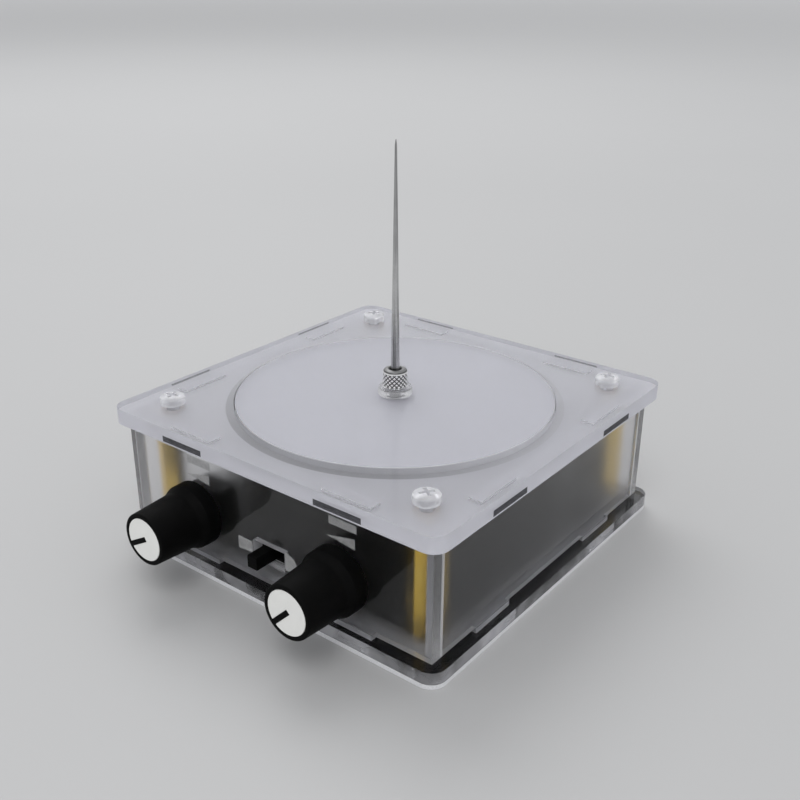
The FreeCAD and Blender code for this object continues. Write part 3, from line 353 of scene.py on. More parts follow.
def frosted_acrylic(name, haze, sheer, rim):
    """Sheet with a frosted underside and polished slots, with painted shade on its rim in front of the
    walls' tabs and round its opening.
    """
    s = Shader(name)
    edge = cut_face(s, "Z")
    height = s.axis(s.place, "Z")
    lower_half = s.math("LESS_THAN", height, (LID_UNDER + 1.8) * MM)
    under = s.math("MULTIPLY", lower_half, s.inverse(edge))
    away = reach(s)
    outside = s.math("GREATER_THAN", away, SHEET_SIDE * MM)
    inside = s.math("MULTIPLY", edge, s.inverse(outside))
    slot = s.math("MULTIPLY", inside, s.math("GREATER_THAN", away, (WALL_BACK - 0.6) * MM))
    radius = distance(s)
    opening = s.math("LESS_THAN", radius, (DISC_OPENING + 0.3) * MM)
    # painted shade: 0 at the front and 1 further back, so the opening's cut wall and the ring below it are
    # painted darker towards the front
    back = s.range(s.axis(s.place, "Y"), 0.0, 1.0, -38.0 * MM, -6.0 * MM)
    # painted shade on the outer rim in front of the walls' tabs
    tab_shade = s.math("MULTIPLY", painted_tab_shade(s), outside)
    grain = s.noise(9.0, 3.0, 0.6)
    cloud = s.noise(0.06, 4.0, 0.6)
    smear = s.noise(0.04, 4.0, 0.6, (1, 0.6, 1))
    cut_roughness = s.range(s.noise(1.5, 3.0), 0.06, 0.16)
    roughness = either(s, edge, cut_roughness, s.range(smear, 0.08, 0.18, 0.35, 0.7))
    relief = s.math("MULTIPLY", edge, cut_striations(s, "Z"))
    normal = s.bump(relief, 0.02)
    clear = s.principled(Base_Color=grey(0.97, 0.02), Roughness=roughness, IOR=ACRYLIC_INDEX,
                         Transmission_Weight=1.0, Normal=normal)
    # the opening's cut wall is painted in the tone given as rim: dark on the lid as painted shade, pale on
    # the disc as a painted highlight
    bore_colour = s.mix(back, grey(rim, 0.02), grey(0.86, 0.02))
    cut_colour = s.mix(opening, grey(0.8, 0.02), bore_colour)
    streak = s.range(s.noise(1.6, 3.0, 0.7, (0.4, 0.4, 3)), 0.0, 1.0, 0.3, 0.7)
    # painted shade: streaky near-black on the rim in front of the tabs, pale grey elsewhere on the outer
    # rim
    rim_colour = s.mix(tab_shade, grey(0.72, 0.05), s.mix(streak, grey(0.035, 0.004), grey(0.13, 0.01)))
    skin_colour = s.mix(inside, rim_colour, cut_colour)
    cut_share = either(s, outside, either(s, tab_shade, 0.94, 0.8), either(s, slot, 0.06, 0.85))
    share = either(s, edge, cut_share, haze)
    frost_colour = s.mix(s.range(cloud, 0.0, 1.0, 0.3, 0.7), grey(0.91, 0.05), grey(0.95, 0.05))
    # painted shade: a dark ring on the frosted underside just outside the opening
    ring = s.math("MULTIPLY", s.math("GREATER_THAN", radius, (DISC_OPENING - 0.2) * MM),
                  s.range(radius, 1.0, 0.0, (DISC_OPENING + 1.9) * MM, (DISC_OPENING + 2.1) * MM))
    frost_colour = s.mix(ring, frost_colour, s.mix(back, grey(0.42, 0.02), grey(0.84, 0.03)))
    skin = s.blend(share, clear, scattering(s, skin_colour, normal))
    grit = s.bump(grain, 0.01)
    misty = s.principled(Base_Color=grey(0.97, 0.02), Roughness=0.5, IOR=ACRYLIC_INDEX,
                         Transmission_Weight=1.0, Normal=grit)
    frost = s.blend(sheer, scattering(s, frost_colour, grit), misty)
    return s.finish(s.blend(under, skin, frost))


def clear_plastic(name, roughness, milky, tint=grey(0.93, 0.01)):
    """Moulded clear plastic with flow marks, a little milky."""
    s = Shader(name)
    flow = s.noise(0.5, 3.0, 0.6, distortion=1.0)
    normal = s.bump(flow, 0.06)
    clear = s.principled(Base_Color=tint, Roughness=s.range(flow, roughness * 0.5, roughness * 2.0),
                         IOR=1.5, Transmission_Weight=1.0, Normal=normal)
    return s.finish(s.blend(s.range(flow, milky * 0.8, milky * 1.2), clear, scattering(s, tint, normal)))


def black_laminate():
    """Lacquered board: glossy faces with a faint weave, pale speckled cut edges."""
    s = Shader("black_laminate")
    edge = cut_face(s, "Z")
    threads = [s.add("ShaderNodeTexWave", {"Vector": s.in_mm(), "Scale": 0.45, "Distortion": 1.0},
                     bands_direction=way).outputs["Fac"] for way in "XY"]
    weave = s.math("MULTIPLY", *threads)
    fibres = s.noise(3.5, 4.0, 0.7, (1, 1, 0.5))
    speckle = s.range(fibres, 0.0, 1.0, 0.35, 0.6)
    edge_colour = s.mix(speckle, grey(0.68, 0.02), grey(0.84, 0.02))
    face_colour = s.mix(s.noise(0.1, 3.0), (0.005, 0.005, 0.007, 1), (0.01, 0.01, 0.012, 1))
    colour = s.mix(edge, face_colour, edge_colour)
    roughness = s.math("ADD", s.math("MULTIPLY", edge, 0.3), s.range(s.noise(0.4, 3.0), 0.16, 0.26))
    relief = s.math("ADD", s.math("MULTIPLY", weave, 0.3), s.math("MULTIPLY", edge, fibres))
    return s.finish(s.principled(Base_Color=colour, Roughness=roughness, Specular_IOR_Level=0.14,
                                 Normal=s.bump(relief, 0.03)))


def board_mask():
    """Solder mask over copper tracks, with the pale cut edge of glass-fibre board."""
    s = Shader("board_mask")
    edge = cut_face(s, "Z")
    tracks = s.add("ShaderNodeTexBrick", {"Vector": s.in_mm(), "Scale": 0.22,
                                          "Mortar Size": 0.06, "Mortar Smooth": 0.3, "Bias": 0.0,
                                          "Brick Width": 0.9, "Row Height": 0.35},
                   offset=0.35).outputs["Fac"]
    face = s.mix(tracks, grey(0.004), grey(0.009))
    colour = s.mix(edge, face, grey(0.03))
    roughness = s.math("ADD", s.math("MULTIPLY", edge, 0.4), s.range(s.noise(0.7, 3.0), 0.18, 0.26))
    relief = s.bump(tracks, 0.04, s.bump(s.noise(5.0, 2.0), 0.006))
    return s.finish(s.principled(Base_Color=colour, Roughness=roughness, Specular_IOR_Level=0.14,
                                 Normal=relief))


def moulded(name, low, high, roughness, grain=0.012, edge_wear=0.0, shine=0.5):
    """Moulded plastic: fine grain, slow colour drift, and shinier worn edges."""
    s = Shader(name)
    fine = s.noise(7.0, 3.0, 0.6)
    broad = s.noise(0.25, 4.0, 0.6)
    colour = s.mix(s.range(broad, 0.0, 1.0, 0.3, 0.7), low, high)
    rough = s.range(broad, roughness[0], roughness[1], 0.3, 0.7)
    if edge_wear:
        worn = s.math("MULTIPLY", worn_edges(s), s.range(s.noise(1.2, 4.0), 0.0, edge_wear, 0.35, 0.7))
        colour = s.mix(worn, colour, grey(0.12))
        rough = s.math("SUBTRACT", rough, s.math("MULTIPLY", worn, 0.1))
    return s.finish(s.principled(Base_Color=colour, Roughness=rough, Specular_IOR_Level=shine,
                                 Normal=s.bump(fine, grain)))


def metal(name, low, high, roughness, line_stretch=(1, 1, 1), lines=1.5, line_depth=0.006, tarnish=None,
          streaks=0.0):
    """Metal with fine machining lines, and patches of tarnish or dark streaks where they are asked for."""
    s = Shader(name)
    line = s.noise(lines, 3.0, 0.6, line_stretch)
    broad = s.noise(0.15, 5.0, 0.65)
    colour = s.mix(s.range(broad, 0.0, 1.0, 0.35, 0.7), low, high)
    if streaks:
        streak = s.range(s.noise(1.1, 2.0, 0.5, line_stretch), 0.0, streaks, 0.42, 0.6)
        colour = s.mix(streak, colour, grey(0.16))
    if tarnish:
        patch = s.range(s.noise(0.35, 5.0, 0.7), 0.0, 0.6, 0.55, 0.75)
        colour = s.mix(patch, colour, tarnish)
    rough = s.range(s.math("ADD", line, broad), roughness[0], roughness[1], 0.6, 1.4)
    return s.finish(s.principled(Base_Color=colour, Metallic=1.0, Roughness=rough,
                                 Normal=s.bump(line, line_depth)))


def knurled_plate():
    """Bright plating on the knurl's crests; below them it is near black, partly dirt and partly painted
    shade, with the top face in dark grey as painted shade.
    """
    s = Shader("knurled_plate")
    crest = s.range(distance(s), 0.0, 1.0, (NUT_RADIUS - 0.2) * MM, (NUT_RADIUS - 0.05) * MM)
    dirt = s.range(s.noise(1.5, 4.0, 0.6), 0.0, 0.5, 0.45, 0.7)
    plate = s.mix(dirt, grey(0.92), grey(0.6))
    top = s.math("GREATER_THAN", s.axis(s.place, "Z"), (NUT_TOP - 0.35) * MM)
    # painted shade: near black away from the crests, dark grey on the top face
    colour = s.mix(crest, s.mix(top, grey(0.07), grey(0.24)), plate)
    return s.finish(s.principled(Base_Color=colour, Metallic=1.0, Roughness=s.range(crest, 0.4, 0.16),
                                 Normal=s.bump(s.noise(3.0, 3.0), 0.006)))


def wound_wire(name, dark, light, pitch):
    """Turns of fine wire under varnish: thin ridges round the tube."""
    s = Shader(name)
    height = s.axis(s.in_mm(), "Z")
    wobble = s.math("MULTIPLY", s.noise(0.2, 3.0), 0.15)
    phase = s.math("MULTIPLY", s.math("ADD", height, wobble), 2 * math.pi / pitch)
    ridge = s.range(s.math("SINE", phase), 0.0, 1.0, -1.0, 1.0)
    patch = s.noise(0.12, 4.0, 0.6, (1, 1, 3))
    colour = s.mix(s.math("MULTIPLY", ridge, patch), dark, light)
    rough = s.range(patch, 0.29, 0.44, 0.3, 0.7)
    return s.finish(s.principled(Base_Color=colour, Roughness=rough, Specular_IOR_Level=0.1,
                                 Normal=s.bump(ridge, 0.04)))


def engraved_frost():
    """Rough white engraving on the clear front."""
    s = Shader("engraved_frost")
    grain = s.noise(8.0, 4.0, 0.7)
    dense = s.range(s.noise(1.0, 4.0, 0.6), 0.2, 0.7, 0.3, 0.7)
    clear = s.principled(Base_Color=grey(0.97), Roughness=0.35, IOR=ACRYLIC_INDEX, Transmission_Weight=1.0)
    white = s.add("ShaderNodeBsdfDiffuse", {"Color": grey(0.6), "Normal": s.bump(grain, 0.02)}).outputs[0]
    return s.finish(s.blend(dense, clear, white))


def floor_surface():
    """Pale and matt, a little paler away from the case."""
    s = Shader("pale_floor")
    near = s.mix(s.noise(0.004, 2.0), grey(0.46), grey(0.48))
    colour = s.mix(s.range(distance(s), 0.0, 1.0, 0.4, 3.0), near, grey(0.62))
    return s.finish(s.principled(Base_Color=colour, Roughness=0.55, Specular_IOR_Level=0.3))


# Mesh making


def mesh_piece(name, points, faces, place=None):
    """A piece from points in millimetres, with smooth faces split at sharp edges."""
    mesh = bpy.data.meshes.new(name)
    mesh.from_pydata([Vector(p) * MM for p in points], [], faces)
    mesh.update()
    bm = bmesh.new()
    bm.from_mesh(mesh)
    bmesh.ops.recalc_face_normals(bm, faces=bm.faces)
    bm.to_mesh(mesh)
    bm.free()
    if place is not None:
        mesh.transform(place)
    mesh.shade_smooth()
    mesh.set_sharp_from_angle(angle=math.radians(32))
    piece = bpy.data.objects.new(name, mesh)
    bpy.context.scene.collection.objects.link(piece)
    return piece


def rounded_profile(corners, closed=False):
    """Points of a profile whose corners are (radius, height, rounding)."""
    points = []
    count = len(corners)
    for index, corner in enumerate(corners):
        rounding = corner[2] if len(corner) > 2 else 0
        here = Vector(corner[:2])
        if not rounding or (not closed and index in (0, count - 1)):
            points.append(here)
            continue
        before = Vector(corners[index - 1][:2]) - here
        after = Vector(corners[(index + 1) % count][:2]) - here
        half = before.angle(after) / 2
        setback = min(rounding / math.tan(half), before.length * 0.48, after.length * 0.48)
        radius = setback * math.tan(half)
        toward_middle = (before.normalized() + after.normalized()).normalized()
        centre = here + toward_middle * (radius / math.sin(half))
        steps = max(2, math.ceil((math.pi - 2 * half) / math.radians(22)))
        first = here + before.normalized() * setback - centre
        last = here + after.normalized() * setback - centre
        turn = math.atan2(first.cross(last), first.dot(last))
        for step in range(steps + 1):
            spin = Matrix.Rotation(turn * step / steps, 2)
            points.append(centre + spin @ first)
    return points


def turned(corners, segments=128, closed=False, shape=None):
    """Points and faces of a turning round Z; shape moves a point (radius, height, angle)."""
    profile = rounded_profile(corners, closed)
    points = []
    rings = []
    for radius, height in profile:
        if radius < 1e-6:
            rings.append([len(points)])
            points.append((0, 0, height))
            continue
        ring = []
        for step in range(segments):
            angle = 2 * math.pi * step / segments
            r = shape(radius, height, angle) if shape else radius
            ring.append(len(points))
            points.append((r * math.cos(angle), r * math.sin(angle), height))
        rings.append(ring)
    faces = []
    pairs = list(zip(rings, rings[1:]))
    if closed:
        pairs.append((rings[-1], rings[0]))
    for low, high in pairs:
        if len(low) == 1 and len(high) == 1:
            continue
        for step in range(segments):
            following = (step + 1) % segments
            if len(low) == 1:
                faces.append((low[0], high[following], high[step]))
            elif len(high) == 1:
                faces.append((low[step], low[following], high[0]))
            else:
                faces.append((low[step], low[following], high[following], high[step]))
    return points, faces


def joined(parts):
    """One set of points and faces out of several, each with its own place."""
    points, faces = [], []
    for (part_points, part_faces), place in parts:
        shift = len(points)
        points += [tuple(place @ Vector(p)) for p in part_points]
        faces += [tuple(index + shift for index in face) for face in part_faces]
    return points, faces


def slab(outline, low, high):
    """Points and faces of a flat shape between two heights."""
    count = len(outline)
    points = [(x, y, low) for x, y in outline] + [(x, y, high) for x, y in outline]
    faces = [tuple(reversed(range(count))), tuple(range(count, 2 * count))]
    for step in range(count):
        following = (step + 1) % count
        faces.append((step, following, count + following, count + step))
    return points, faces


def block(low, high):
    """Points and faces of a box between two corners."""
    x0, y0, z0 = low
    x1, y1, z1 = high
    return slab([(x0, y0), (x1, y0), (x1, y1), (x0, y1)], z0, z1)


def soften(piece, width, segments=3, angle=30):
    """Round the sharp edges of a piece, and let the flat faces keep their shading."""
    bevel = piece.modifiers.new("soft_edges", "BEVEL")
    bevel.width = width * MM
    bevel.segments = segments
    bevel.limit_method = "ANGLE"
    bevel.angle_limit = math.radians(angle)
    bevel.harden_normals = False
    weighted = piece.modifiers.new("even_shading", "WEIGHTED_NORMAL")
    weighted.keep_sharp = False
    weighted.weight = 100


def carve(piece, cutter):
    """Cut one piece out of another for good."""
    boolean = piece.modifiers.new("cut", "BOOLEAN")
    boolean.operation = "DIFFERENCE"
    boolean.solver = "EXACT"
    boolean.object = cutter
    graph = bpy.context.evaluated_depsgraph_get()
    result = bpy.data.meshes.new_from_object(piece.evaluated_get(graph))
    piece.modifiers.clear()
    piece.data = result
    result.shade_smooth()
    result.set_sharp_from_angle(angle=math.radians(32))
    bpy.data.objects.remove(cutter)


def dress(piece, material, body="case", replaces=()):
    """Give a new piece its material and body, and hide the nodes that it stands for."""
    piece.data.materials.clear()
    piece.data.materials.append(material)
    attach(piece, body)
    if replaces:
        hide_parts(*replaces)
    return piece


def dress_node(name, material, width=0.15, segments=2, shy=0.0):
    """Give a CAD node its material, and round its edges where a width is given.

    A clear piece is drawn shy of its neighbours by a hair, so that no two faces fall together.
    """
    piece = NODES[name]
    for slot in piece.material_slots:
        slot.material = material
    if width:
        weld = piece.modifiers.new("weld", "WELD")
        weld.merge_threshold = 1e-6
        flat = piece.modifiers.new("flat_faces", "DECIMATE")
        flat.decimate_type = "DISSOLVE"
        flat.angle_limit = math.radians(0.5)
        if shy:
            room = piece.modifiers.new("room", "DISPLACE")
            room.mid_level = 0
            room.strength = -shy * MM
        soften(piece, width, segments)


# Materials


CLEAR_BASE = clear_base()
CLEAR_WALL = {axis: clear_wall(axis) for axis in "XY"}
# the last number is the painted tone of the cut wall round the opening: painted shade on the lid, a painted
# highlight on the disc
FROSTED_LID = frosted_acrylic("frosted_lid", 0.16, 0.24, 0.46)
FROSTED_DISC = frosted_acrylic("frosted_disc", 0.34, 0.0, 0.88)
CLEAR_MOULDED = clear_plastic("clear_moulding", 0.08, 0.42, grey(0.95, 0.02))
CLEAR_WASHER = clear_plastic("clear_washer", 0.1, 0.14)
LAMINATE = black_laminate()
BOARD = board_mask()
BLACK = moulded("black_moulding", grey(0.0022), grey(0.0032), (0.5, 0.6), 0.01, 0.08, 0.045)
BLACK_MATTE = moulded("black_housing", grey(0.005), grey(0.01), (0.45, 0.6), 0.02, 0.0, 0.16)
INSULATION = moulded("black_insulation", grey(0.005), grey(0.009), (0.3, 0.42), 0.01, 0.0, 0.2)
WHITE = moulded("white_moulding", (0.86, 0.86, 0.83, 1), (0.9, 0.9, 0.87, 1), (0.32, 0.42), 0.006)
NEEDLE_STEEL = metal("needle_steel", grey(0.52), grey(0.66), (0.18, 0.26), (1, 1, 0.02), 6.0, 0.004,
                     streaks=0.85)
NUT_PLATE = knurled_plate()
BRASS = metal("bare_brass", (0.84, 0.56, 0.08, 1), (0.92, 0.65, 0.12, 1), (0.18, 0.26), (1, 1, 0.1),
              2.0, 0.008)
PLATED = metal("plated_steel", grey(0.45), grey(0.6), (0.29, 0.44), (1, 1, 0.1), 2.0, 0.008, grey(0.28))
TURNED = metal("turned_aluminium", grey(0.62), grey(0.72), (0.3, 0.45), (1, 1, 0.1), 2.0, 0.01)
FORMER = moulded("dark_former", grey(0.008), grey(0.013), (0.35, 0.5), 0.015, 0.0, 0.25)
WINDING = wound_wire("dark_winding", grey(0.003), (0.01, 0.008, 0.006, 1), 0.25)
COPPER = metal("enamelled_copper", (0.36, 0.13, 0.045, 1), (0.5, 0.2, 0.08, 1), (0.18, 0.26))
TINNED = metal("tinned_brass", (0.5, 0.48, 0.4, 1), (0.62, 0.6, 0.52, 1), (0.3, 0.5))
RESIN = moulded("dipped_resin", (0.22, 0.03, 0.02, 1), (0.32, 0.05, 0.03, 1), (0.12, 0.22), 0.03)
FROST_MARK = engraved_frost()


# CAD nodes that keep their shape

CLEAR_SHEETS = {
    "base_plate": (CLEAR_BASE, 0.12, 0.01),
    "front_panel": (CLEAR_WALL["Y"], 0.12, 0.02),
    "rear_panel": (CLEAR_WALL["Y"], 0.12, 0.02),
    "left_panel": (CLEAR_WALL["X"], 0.12, 0.03),
    "right_panel": (CLEAR_WALL["X"], 0.12, 0.03),
    "top_plate": (FROSTED_LID, 0.15, 0.04),
    "centre_disc": (FROSTED_DISC, 0.15, 0.04),
}
for name, (material, width, shy) in CLEAR_SHEETS.items():
    dress_node(name, material, width, shy=shy)

ROUNDED_NODES = [
    (LAMINATE, 0.08, ["bottom_board"]),
    (BRASS, 0.1, ["corner_pillars"]),
    (CLEAR_MOULDED, 0.1, ["board_spacers"]),
    (PLATED, 0.12, ["bottom_screws", "board_screws", "left_pot_nut", "right_pot_nut", "clamp_nut",
                    "terminal_stud", "transistor_screws"]),
    (PLATED, 0.2, ["power_socket_pin"]),
    (BLACK_MATTE, 0.2, ["left_pot_body", "right_pot_body", "switch_body"]),
    (BLACK_MATTE, 0.25, ["power_socket"]),
    (BLACK_MATTE, 0.15, ["power_transistors", "driver_chip"]),
    (BLACK_MATTE, 0.3, ["filter_capacitors"]),
    (BOARD, 0.06, ["circuit_board"]),
    (FORMER, 0.1, ["secondary_former", "primary_sleeve"]),
    (INSULATION, 0, ["primary_coil"]),
    (TINNED, 0.15, ["primary_terminals"]),
    (COPPER, 0, ["top_lead"]),
    (TURNED, 0.12, ["heat_sink"]),
    (TURNED, 0.1, ["left_pot_shaft", "right_pot_shaft"]),
]
for material, width, names in ROUNDED_NODES:
    for name in names:
        dress_node(name, material, width)
dress_node("film_capacitor", RESIN, 0.8, 4)
dress_node("switch_slider", BLACK, 0.25, 3)


# Knobs and caps


def control_place(side):
    """Where a piece drawn upright outwards from the panel sits, its pointer along its own Y."""
    spin = Matrix.Rotation(math.radians(KNOB_ANGLES[side]), 4, "Y") @ Matrix.Rotation(math.pi / 2, 4, "X")
    return Matrix.Translation(Vector((SIDES[side] * KNOB_X, -PANEL_FACE, KNOB_Z)) * MM) @ spin


def knob(side):
    """A satin knob: thin skirt, concave flare, slightly tapered grip and a recess for the cap."""
    shaft_bore, bore_end = 3.05, 13.05
    cavity, cavity_end = 6.5, 5.0
    skirt_foot, skirt_top, skirt_height = 8.1, 8.0, 4.4
    grip_foot, grip_height, grip_front = 7.05, 6.4, 6.45
    recess, half_bar = 5.4, 0.575
    profile = [
        (0, bore_end), (shaft_bore, bore_end, 0.1),
        (shaft_bore, cavity_end, 0.3), (cavity, cavity_end, 0.4),
        (cavity, KNOB_FOOT, 0.2), (skirt_foot, KNOB_FOOT, 0.35),
        (skirt_top, skirt_height, 0.5), (grip_foot, grip_height, 1.6),
        (grip_front, KNOB_FRONT, 0.45), (recess, KNOB_FRONT, 0.12),
        (recess - 0.05, CAP_FLOOR, 0.05), (0, CAP_FLOOR),
    ]
    shell = turned(profile, 160)
    bar = block((-half_bar, -half_bar, CAP_FLOOR - 0.1), (half_bar, recess - 0.04, KNOB_FRONT - 0.04))
    shape = joined([(shell, Matrix()), (bar, Matrix())])
    piece = mesh_piece(f"{side}_knob_shell", *shape, control_place(side))
    return dress(piece, BLACK, f"{side}_control", [f"{side}_knob"])


def cap(side):
    """A white disc with a slot that lets the pointer bar through."""
    radius, half, steps = 5.3, 0.625, 120
    start = math.asin(half / radius)
    sweep = 2 * math.pi - 2 * start
    outline = []
    for step in range(steps + 1):
        angle = math.pi / 2 + start + sweep * step / steps
        outline.append((radius * math.cos(angle), radius * math.sin(angle)))
    outline += [(half, -half), (-half, -half)]
    shape = slab(outline, CAP_FLOOR + 0.02, KNOB_FRONT - 0.04)
    piece = mesh_piece(f"{side}_cap_disc", *shape, control_place(side))
    soften(piece, 0.12, 3)
    return dress(piece, WHITE, f"{side}_control", [f"{side}_knob_cap"])


for side in SIDES:
    knob(side)
    cap(side)


# Lid screws


def lid_screws():
    """Four clear pan-head screws with a cross recess and a threaded shank."""
    root, crest, pitch = 1.28, 1.5, 0.5
    half_span, half_width, cross_floor = 1.75, 0.42, 38.1
    shank = []
    height = SCREW_TIP
    while height < LID_TOP - 0.8:
        shank += [(root, height), (crest, height + 0.2), (root, height + 0.4)]
        height += pitch
    profile = [(0, SCREW_TIP)] + shank + [
        (crest, LID_TOP - 0.3, 0.1), (crest, LID_TOP), (HEAD_RADIUS, LID_TOP, 0.15),
        (HEAD_RADIUS, HEAD_TOP - 0.6, 0.5), (1.9, HEAD_TOP - 0.1, 0.6), (0, HEAD_TOP),
    ]
    heads = []
    cuts = []
    for number, (sign_x, sign_y) in enumerate(CORNER_SIGNS):
        turn = Matrix.Rotation(math.radians(18 + 37 * number), 4, "Z")
        place = Matrix.Translation((sign_x * CORNER, sign_y * CORNER, 0)) @ turn
        heads.append((turned(profile, 64), place))
        for quarter in (0, math.pi / 2):
            arm = block((-half_span, -half_width, cross_floor), (half_span, half_width, HEAD_TOP + 0.6))
            cuts.append((arm, place @ Matrix.Rotation(quarter, 4, "Z")))
    piece = mesh_piece("lid_screws", *joined(heads))
    for first in (0, 1):
        carve(piece, mesh_piece("cross_cutter", *joined(cuts[first::2])))
    return dress(piece, CLEAR_MOULDED, "case", ["top_screws"])


lid_screws()


# Discharge terminal


def knurl(radius, height, angle):
    """The radius of the nut's outside with a diamond knurl between its plain ends."""
    teeth, rise, steepness, full_depth = 16, 1.15, 1.7, 0.26
    bore_limit, low, high = 2.6, WASHER_TOP + 0.35, NUT_TOP - 0.95
    if radius < bore_limit or not low < height < high:
        return radius
    depth = 0
    for way in (-1, 1):
        phase = angle * teeth / (2 * math.pi) + way * height / rise
        depth = max(depth, 1 - abs(2 * (phase % 1) - 1) * steepness)
    return radius - full_depth * depth


def terminal_nut():
    """A nut with a diamond knurl, a thread bore and a narrower seat for the needle."""
    thread_bore, seat_bore, steps = 1.55, 1.15, 44
    low, high = WASHER_TOP + 0.35, NUT_TOP - 1.0
    side = [(NUT_RADIUS, low + (high - low) * step / steps) for step in range(steps + 1)]
    foot = [(thread_bore, WASHER_TOP), (2.95, WASHER_TOP, 0.05), (NUT_RADIUS, WASHER_TOP + 0.25, 0.05)]
    head = [
        (NUT_RADIUS, NUT_TOP - 0.9, 0.1), (2.85, NUT_TOP - 0.3, 0.3), (2.3, NUT_TOP, 0.15),
        (1.75, NUT_TOP, 0.1), (1.5, NUT_TOP - 0.7), (seat_bore, NUT_TOP - 1.2),
        (seat_bore, NEEDLE_FOOT), (thread_bore, NEEDLE_FOOT),
    ]
    nut = mesh_piece("knurled_terminal_nut", *turned(foot + side + head, 240, True, knurl))
    return dress(nut, NUT_PLATE, "case", ["knurled_nut"])


def needle():
    """A tapered rod that ends in a short point."""
    taper, shoulder, point = 55.1, 0.27, 0.09
    profile = [(0, NEEDLE_FOOT), (NEEDLE_RADIUS, NEEDLE_FOOT, 0.1), (NEEDLE_RADIUS, NUT_TOP)]
    for share in (0.25, 0.5, 0.75):
        profile.append((NEEDLE_RADIUS - (NEEDLE_RADIUS - shoulder) * share, NUT_TOP + taper * share))
    profile += [(shoulder, NUT_TOP + taper), (point, NEEDLE_TIP - 0.06, 0.05), (0, NEEDLE_TIP)]
    rod = mesh_piece("needle", *turned(profile, 64))
    return dress(rod, NEEDLE_STEEL, "case", ["discharge_needle"])


def washer():
    """A clear ring with rounded rims."""
    hole = 1.6
    profile = [(hole, LID_TOP, 0.2), (WASHER_RADIUS, LID_TOP, 0.35),
               (WASHER_RADIUS, WASHER_TOP, 0.45), (hole, WASHER_TOP, 0.2)]
    ring = mesh_piece("clear_washer", *turned(profile, 96, True))
    return dress(ring, CLEAR_WASHER, "case", ["terminal_washer"])


terminal_nut()
needle()
washer()


# Winding


def winding():
    """The wound part of the tube, with the ridge of each few turns."""
    pitch, ridge = 0.5, 0.07
    inside, valley = FORMER_RADIUS + 0.01, WINDING_RADIUS - ridge
    outside = []
    for turn in range(int((WINDING_TOP - WINDING_BOTTOM) / pitch)):
        base = WINDING_BOTTOM + turn * pitch
        outside.append((valley, base + 0.02))
        outside += [(WINDING_RADIUS, base + pitch * 0.3), (WINDING_RADIUS, base + pitch * 0.7)]
    profile = [(inside, WINDING_BOTTOM)] + outside + [(valley, WINDING_TOP - 0.1), (inside, WINDING_TOP)]
    piece = mesh_piece("wound_wire", *turned(profile, 160, True))
    piece.data.set_sharp_from_angle(angle=math.pi)
    return dress(piece, WINDING, "case", ["secondary_winding"])


winding()


# Engraved marks on the front, generic shapes only


def front_mark(name, outline):
    """A flat engraved patch on the front panel's face, drawn in x and z."""
    gap, skin = 0.004, 0.03
    place = Matrix.Translation((0, -PANEL_FACE * MM, 0)) @ Matrix.Rotation(math.pi / 2, 4, "X")
    piece = mesh_piece(name, *slab(outline, gap, skin), place)
    return dress(piece, FROST_MARK, "case")


# Outlines in x, counted from the left end of a knob's mark, and in z
LEVEL_WEDGE = [(0, 24.9), (8.1, 24.0), (8.1, 26.7)]
PLAIN_STRIP = [(0.8, 28.1), (8.6, 28.1), (8.6, 30.1), (0.8, 30.1)]
MARK_REACH = 4.3
SWITCH_MARKS = {
    "left": [(-9.9, 10.6), (-5.2, 10.9), (-5.2, 14.0), (-9.9, 14.0)],
    "right": [(5.4, 10.4), (9.8, 10.9), (8.2, 14.4), (5.4, 15.4)],
}
for side in SIDES:
    start = SIDES[side] * KNOB_X - MARK_REACH
    front_mark(f"{side}_level_wedge", [(start + x, z) for x, z in LEVEL_WEDGE])
    front_mark(f"{side}_plain_strip", [(start + x, z) for x, z in PLAIN_STRIP])
for side in SIDES:
    front_mark(f"{side}_switch_mark", SWITCH_MARKS[side])


# Floor, light and camera


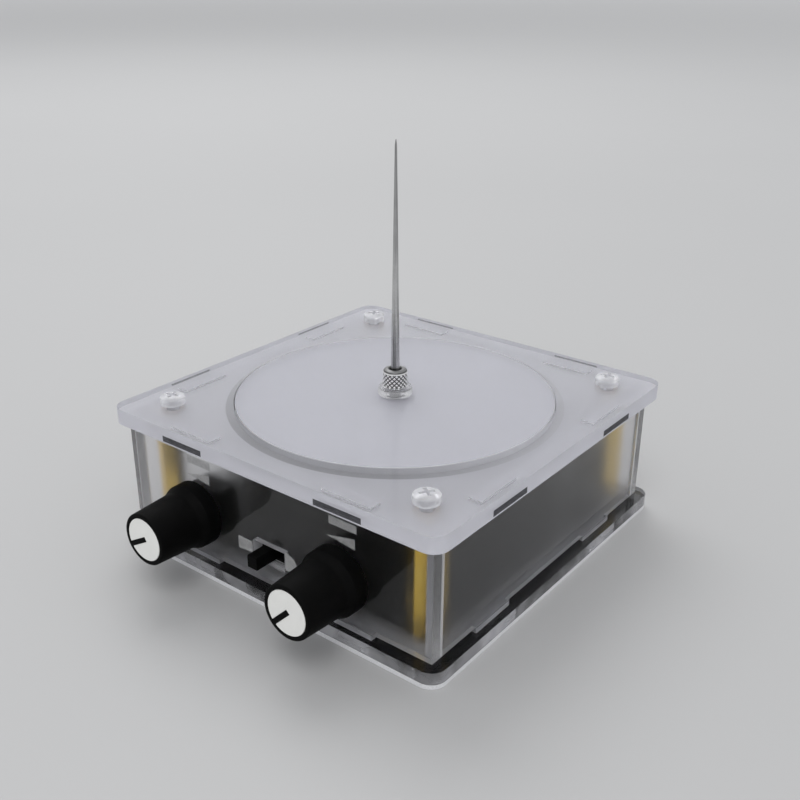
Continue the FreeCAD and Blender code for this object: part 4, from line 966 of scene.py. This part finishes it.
def stage_floor():
    """A wide floor in metres, a hair below the case."""
    mesh = bpy.data.meshes.new("floor")
    half, hair = 6.0, 0.00002
    corners = [(-half, -half, 0), (half, -half, 0), (half, half, 0), (-half, half, 0)]
    mesh.from_pydata(corners, [], [(0, 1, 2, 3)])
    floor = bpy.data.objects.new("floor", mesh)
    floor.location.z = -hair
    bpy.context.scene.collection.objects.link(floor)
    mesh.materials.append(floor_surface())


def area_light(name, place, size, power):
    """A round soft lamp that looks at the middle of the case, in metres and watts."""
    middle = Vector((0, 0, 0.02))
    lamp = bpy.data.lights.new(name, "AREA")
    lamp.shape = "DISK"
    lamp.size = size
    lamp.energy = power
    holder = bpy.data.objects.new(name, lamp)
    holder.location = place
    holder.rotation_mode = "QUATERNION"
    holder.rotation_quaternion = (middle - Vector(place)).to_track_quat("-Z", "Y")
    bpy.context.scene.collection.objects.link(holder)


def light():
    """Two soft lamps above, a pale even surround and plain colours in the picture."""
    area_light("window", (-0.7, 0.5, 1.1), 0.9, 6.0)
    area_light("ceiling", (0.35, -0.6, 1.2), 0.7, 4.2)
    world = bpy.data.worlds.new("pale_room")
    world.use_nodes = True
    background = world.node_tree.nodes["Background"]
    background.inputs["Color"].default_value = (0.93, 0.94, 0.96, 1)
    background.inputs["Strength"].default_value = 0.8
    bpy.context.scene.world = world
    bpy.context.scene.view_settings.view_transform = "Standard"


def photograph_camera():
    """The camera solved from the photograph: angles in degrees, place in metres."""
    azimuth, elevation, roll = (math.radians(angle) for angle in (37.952, 24.145, 0.291))
    place_in_metres = (0.145852, -0.185013, 0.140676)
    back = Vector((math.sin(azimuth) * math.cos(elevation), -math.cos(azimuth) * math.cos(elevation),
                   math.sin(elevation)))
    right = Vector((0, 0, 1)).cross(back).normalized()
    up = back.cross(right)
    across = right * math.cos(roll) + up * math.sin(roll)
    upward = up * math.cos(roll) - right * math.sin(roll)
    lens = bpy.data.cameras.new("photograph")
    lens.lens = 45.616
    lens.clip_start = 0.01
    camera = bpy.data.objects.new("photograph", lens)
    place = Matrix((across, upward, back)).transposed().to_4x4()
    place.translation = place_in_metres
    camera.matrix_world = place
    bpy.context.scene.collection.objects.link(camera)
    bpy.context.scene.camera = camera


stage_floor()
light()
photograph_camera()
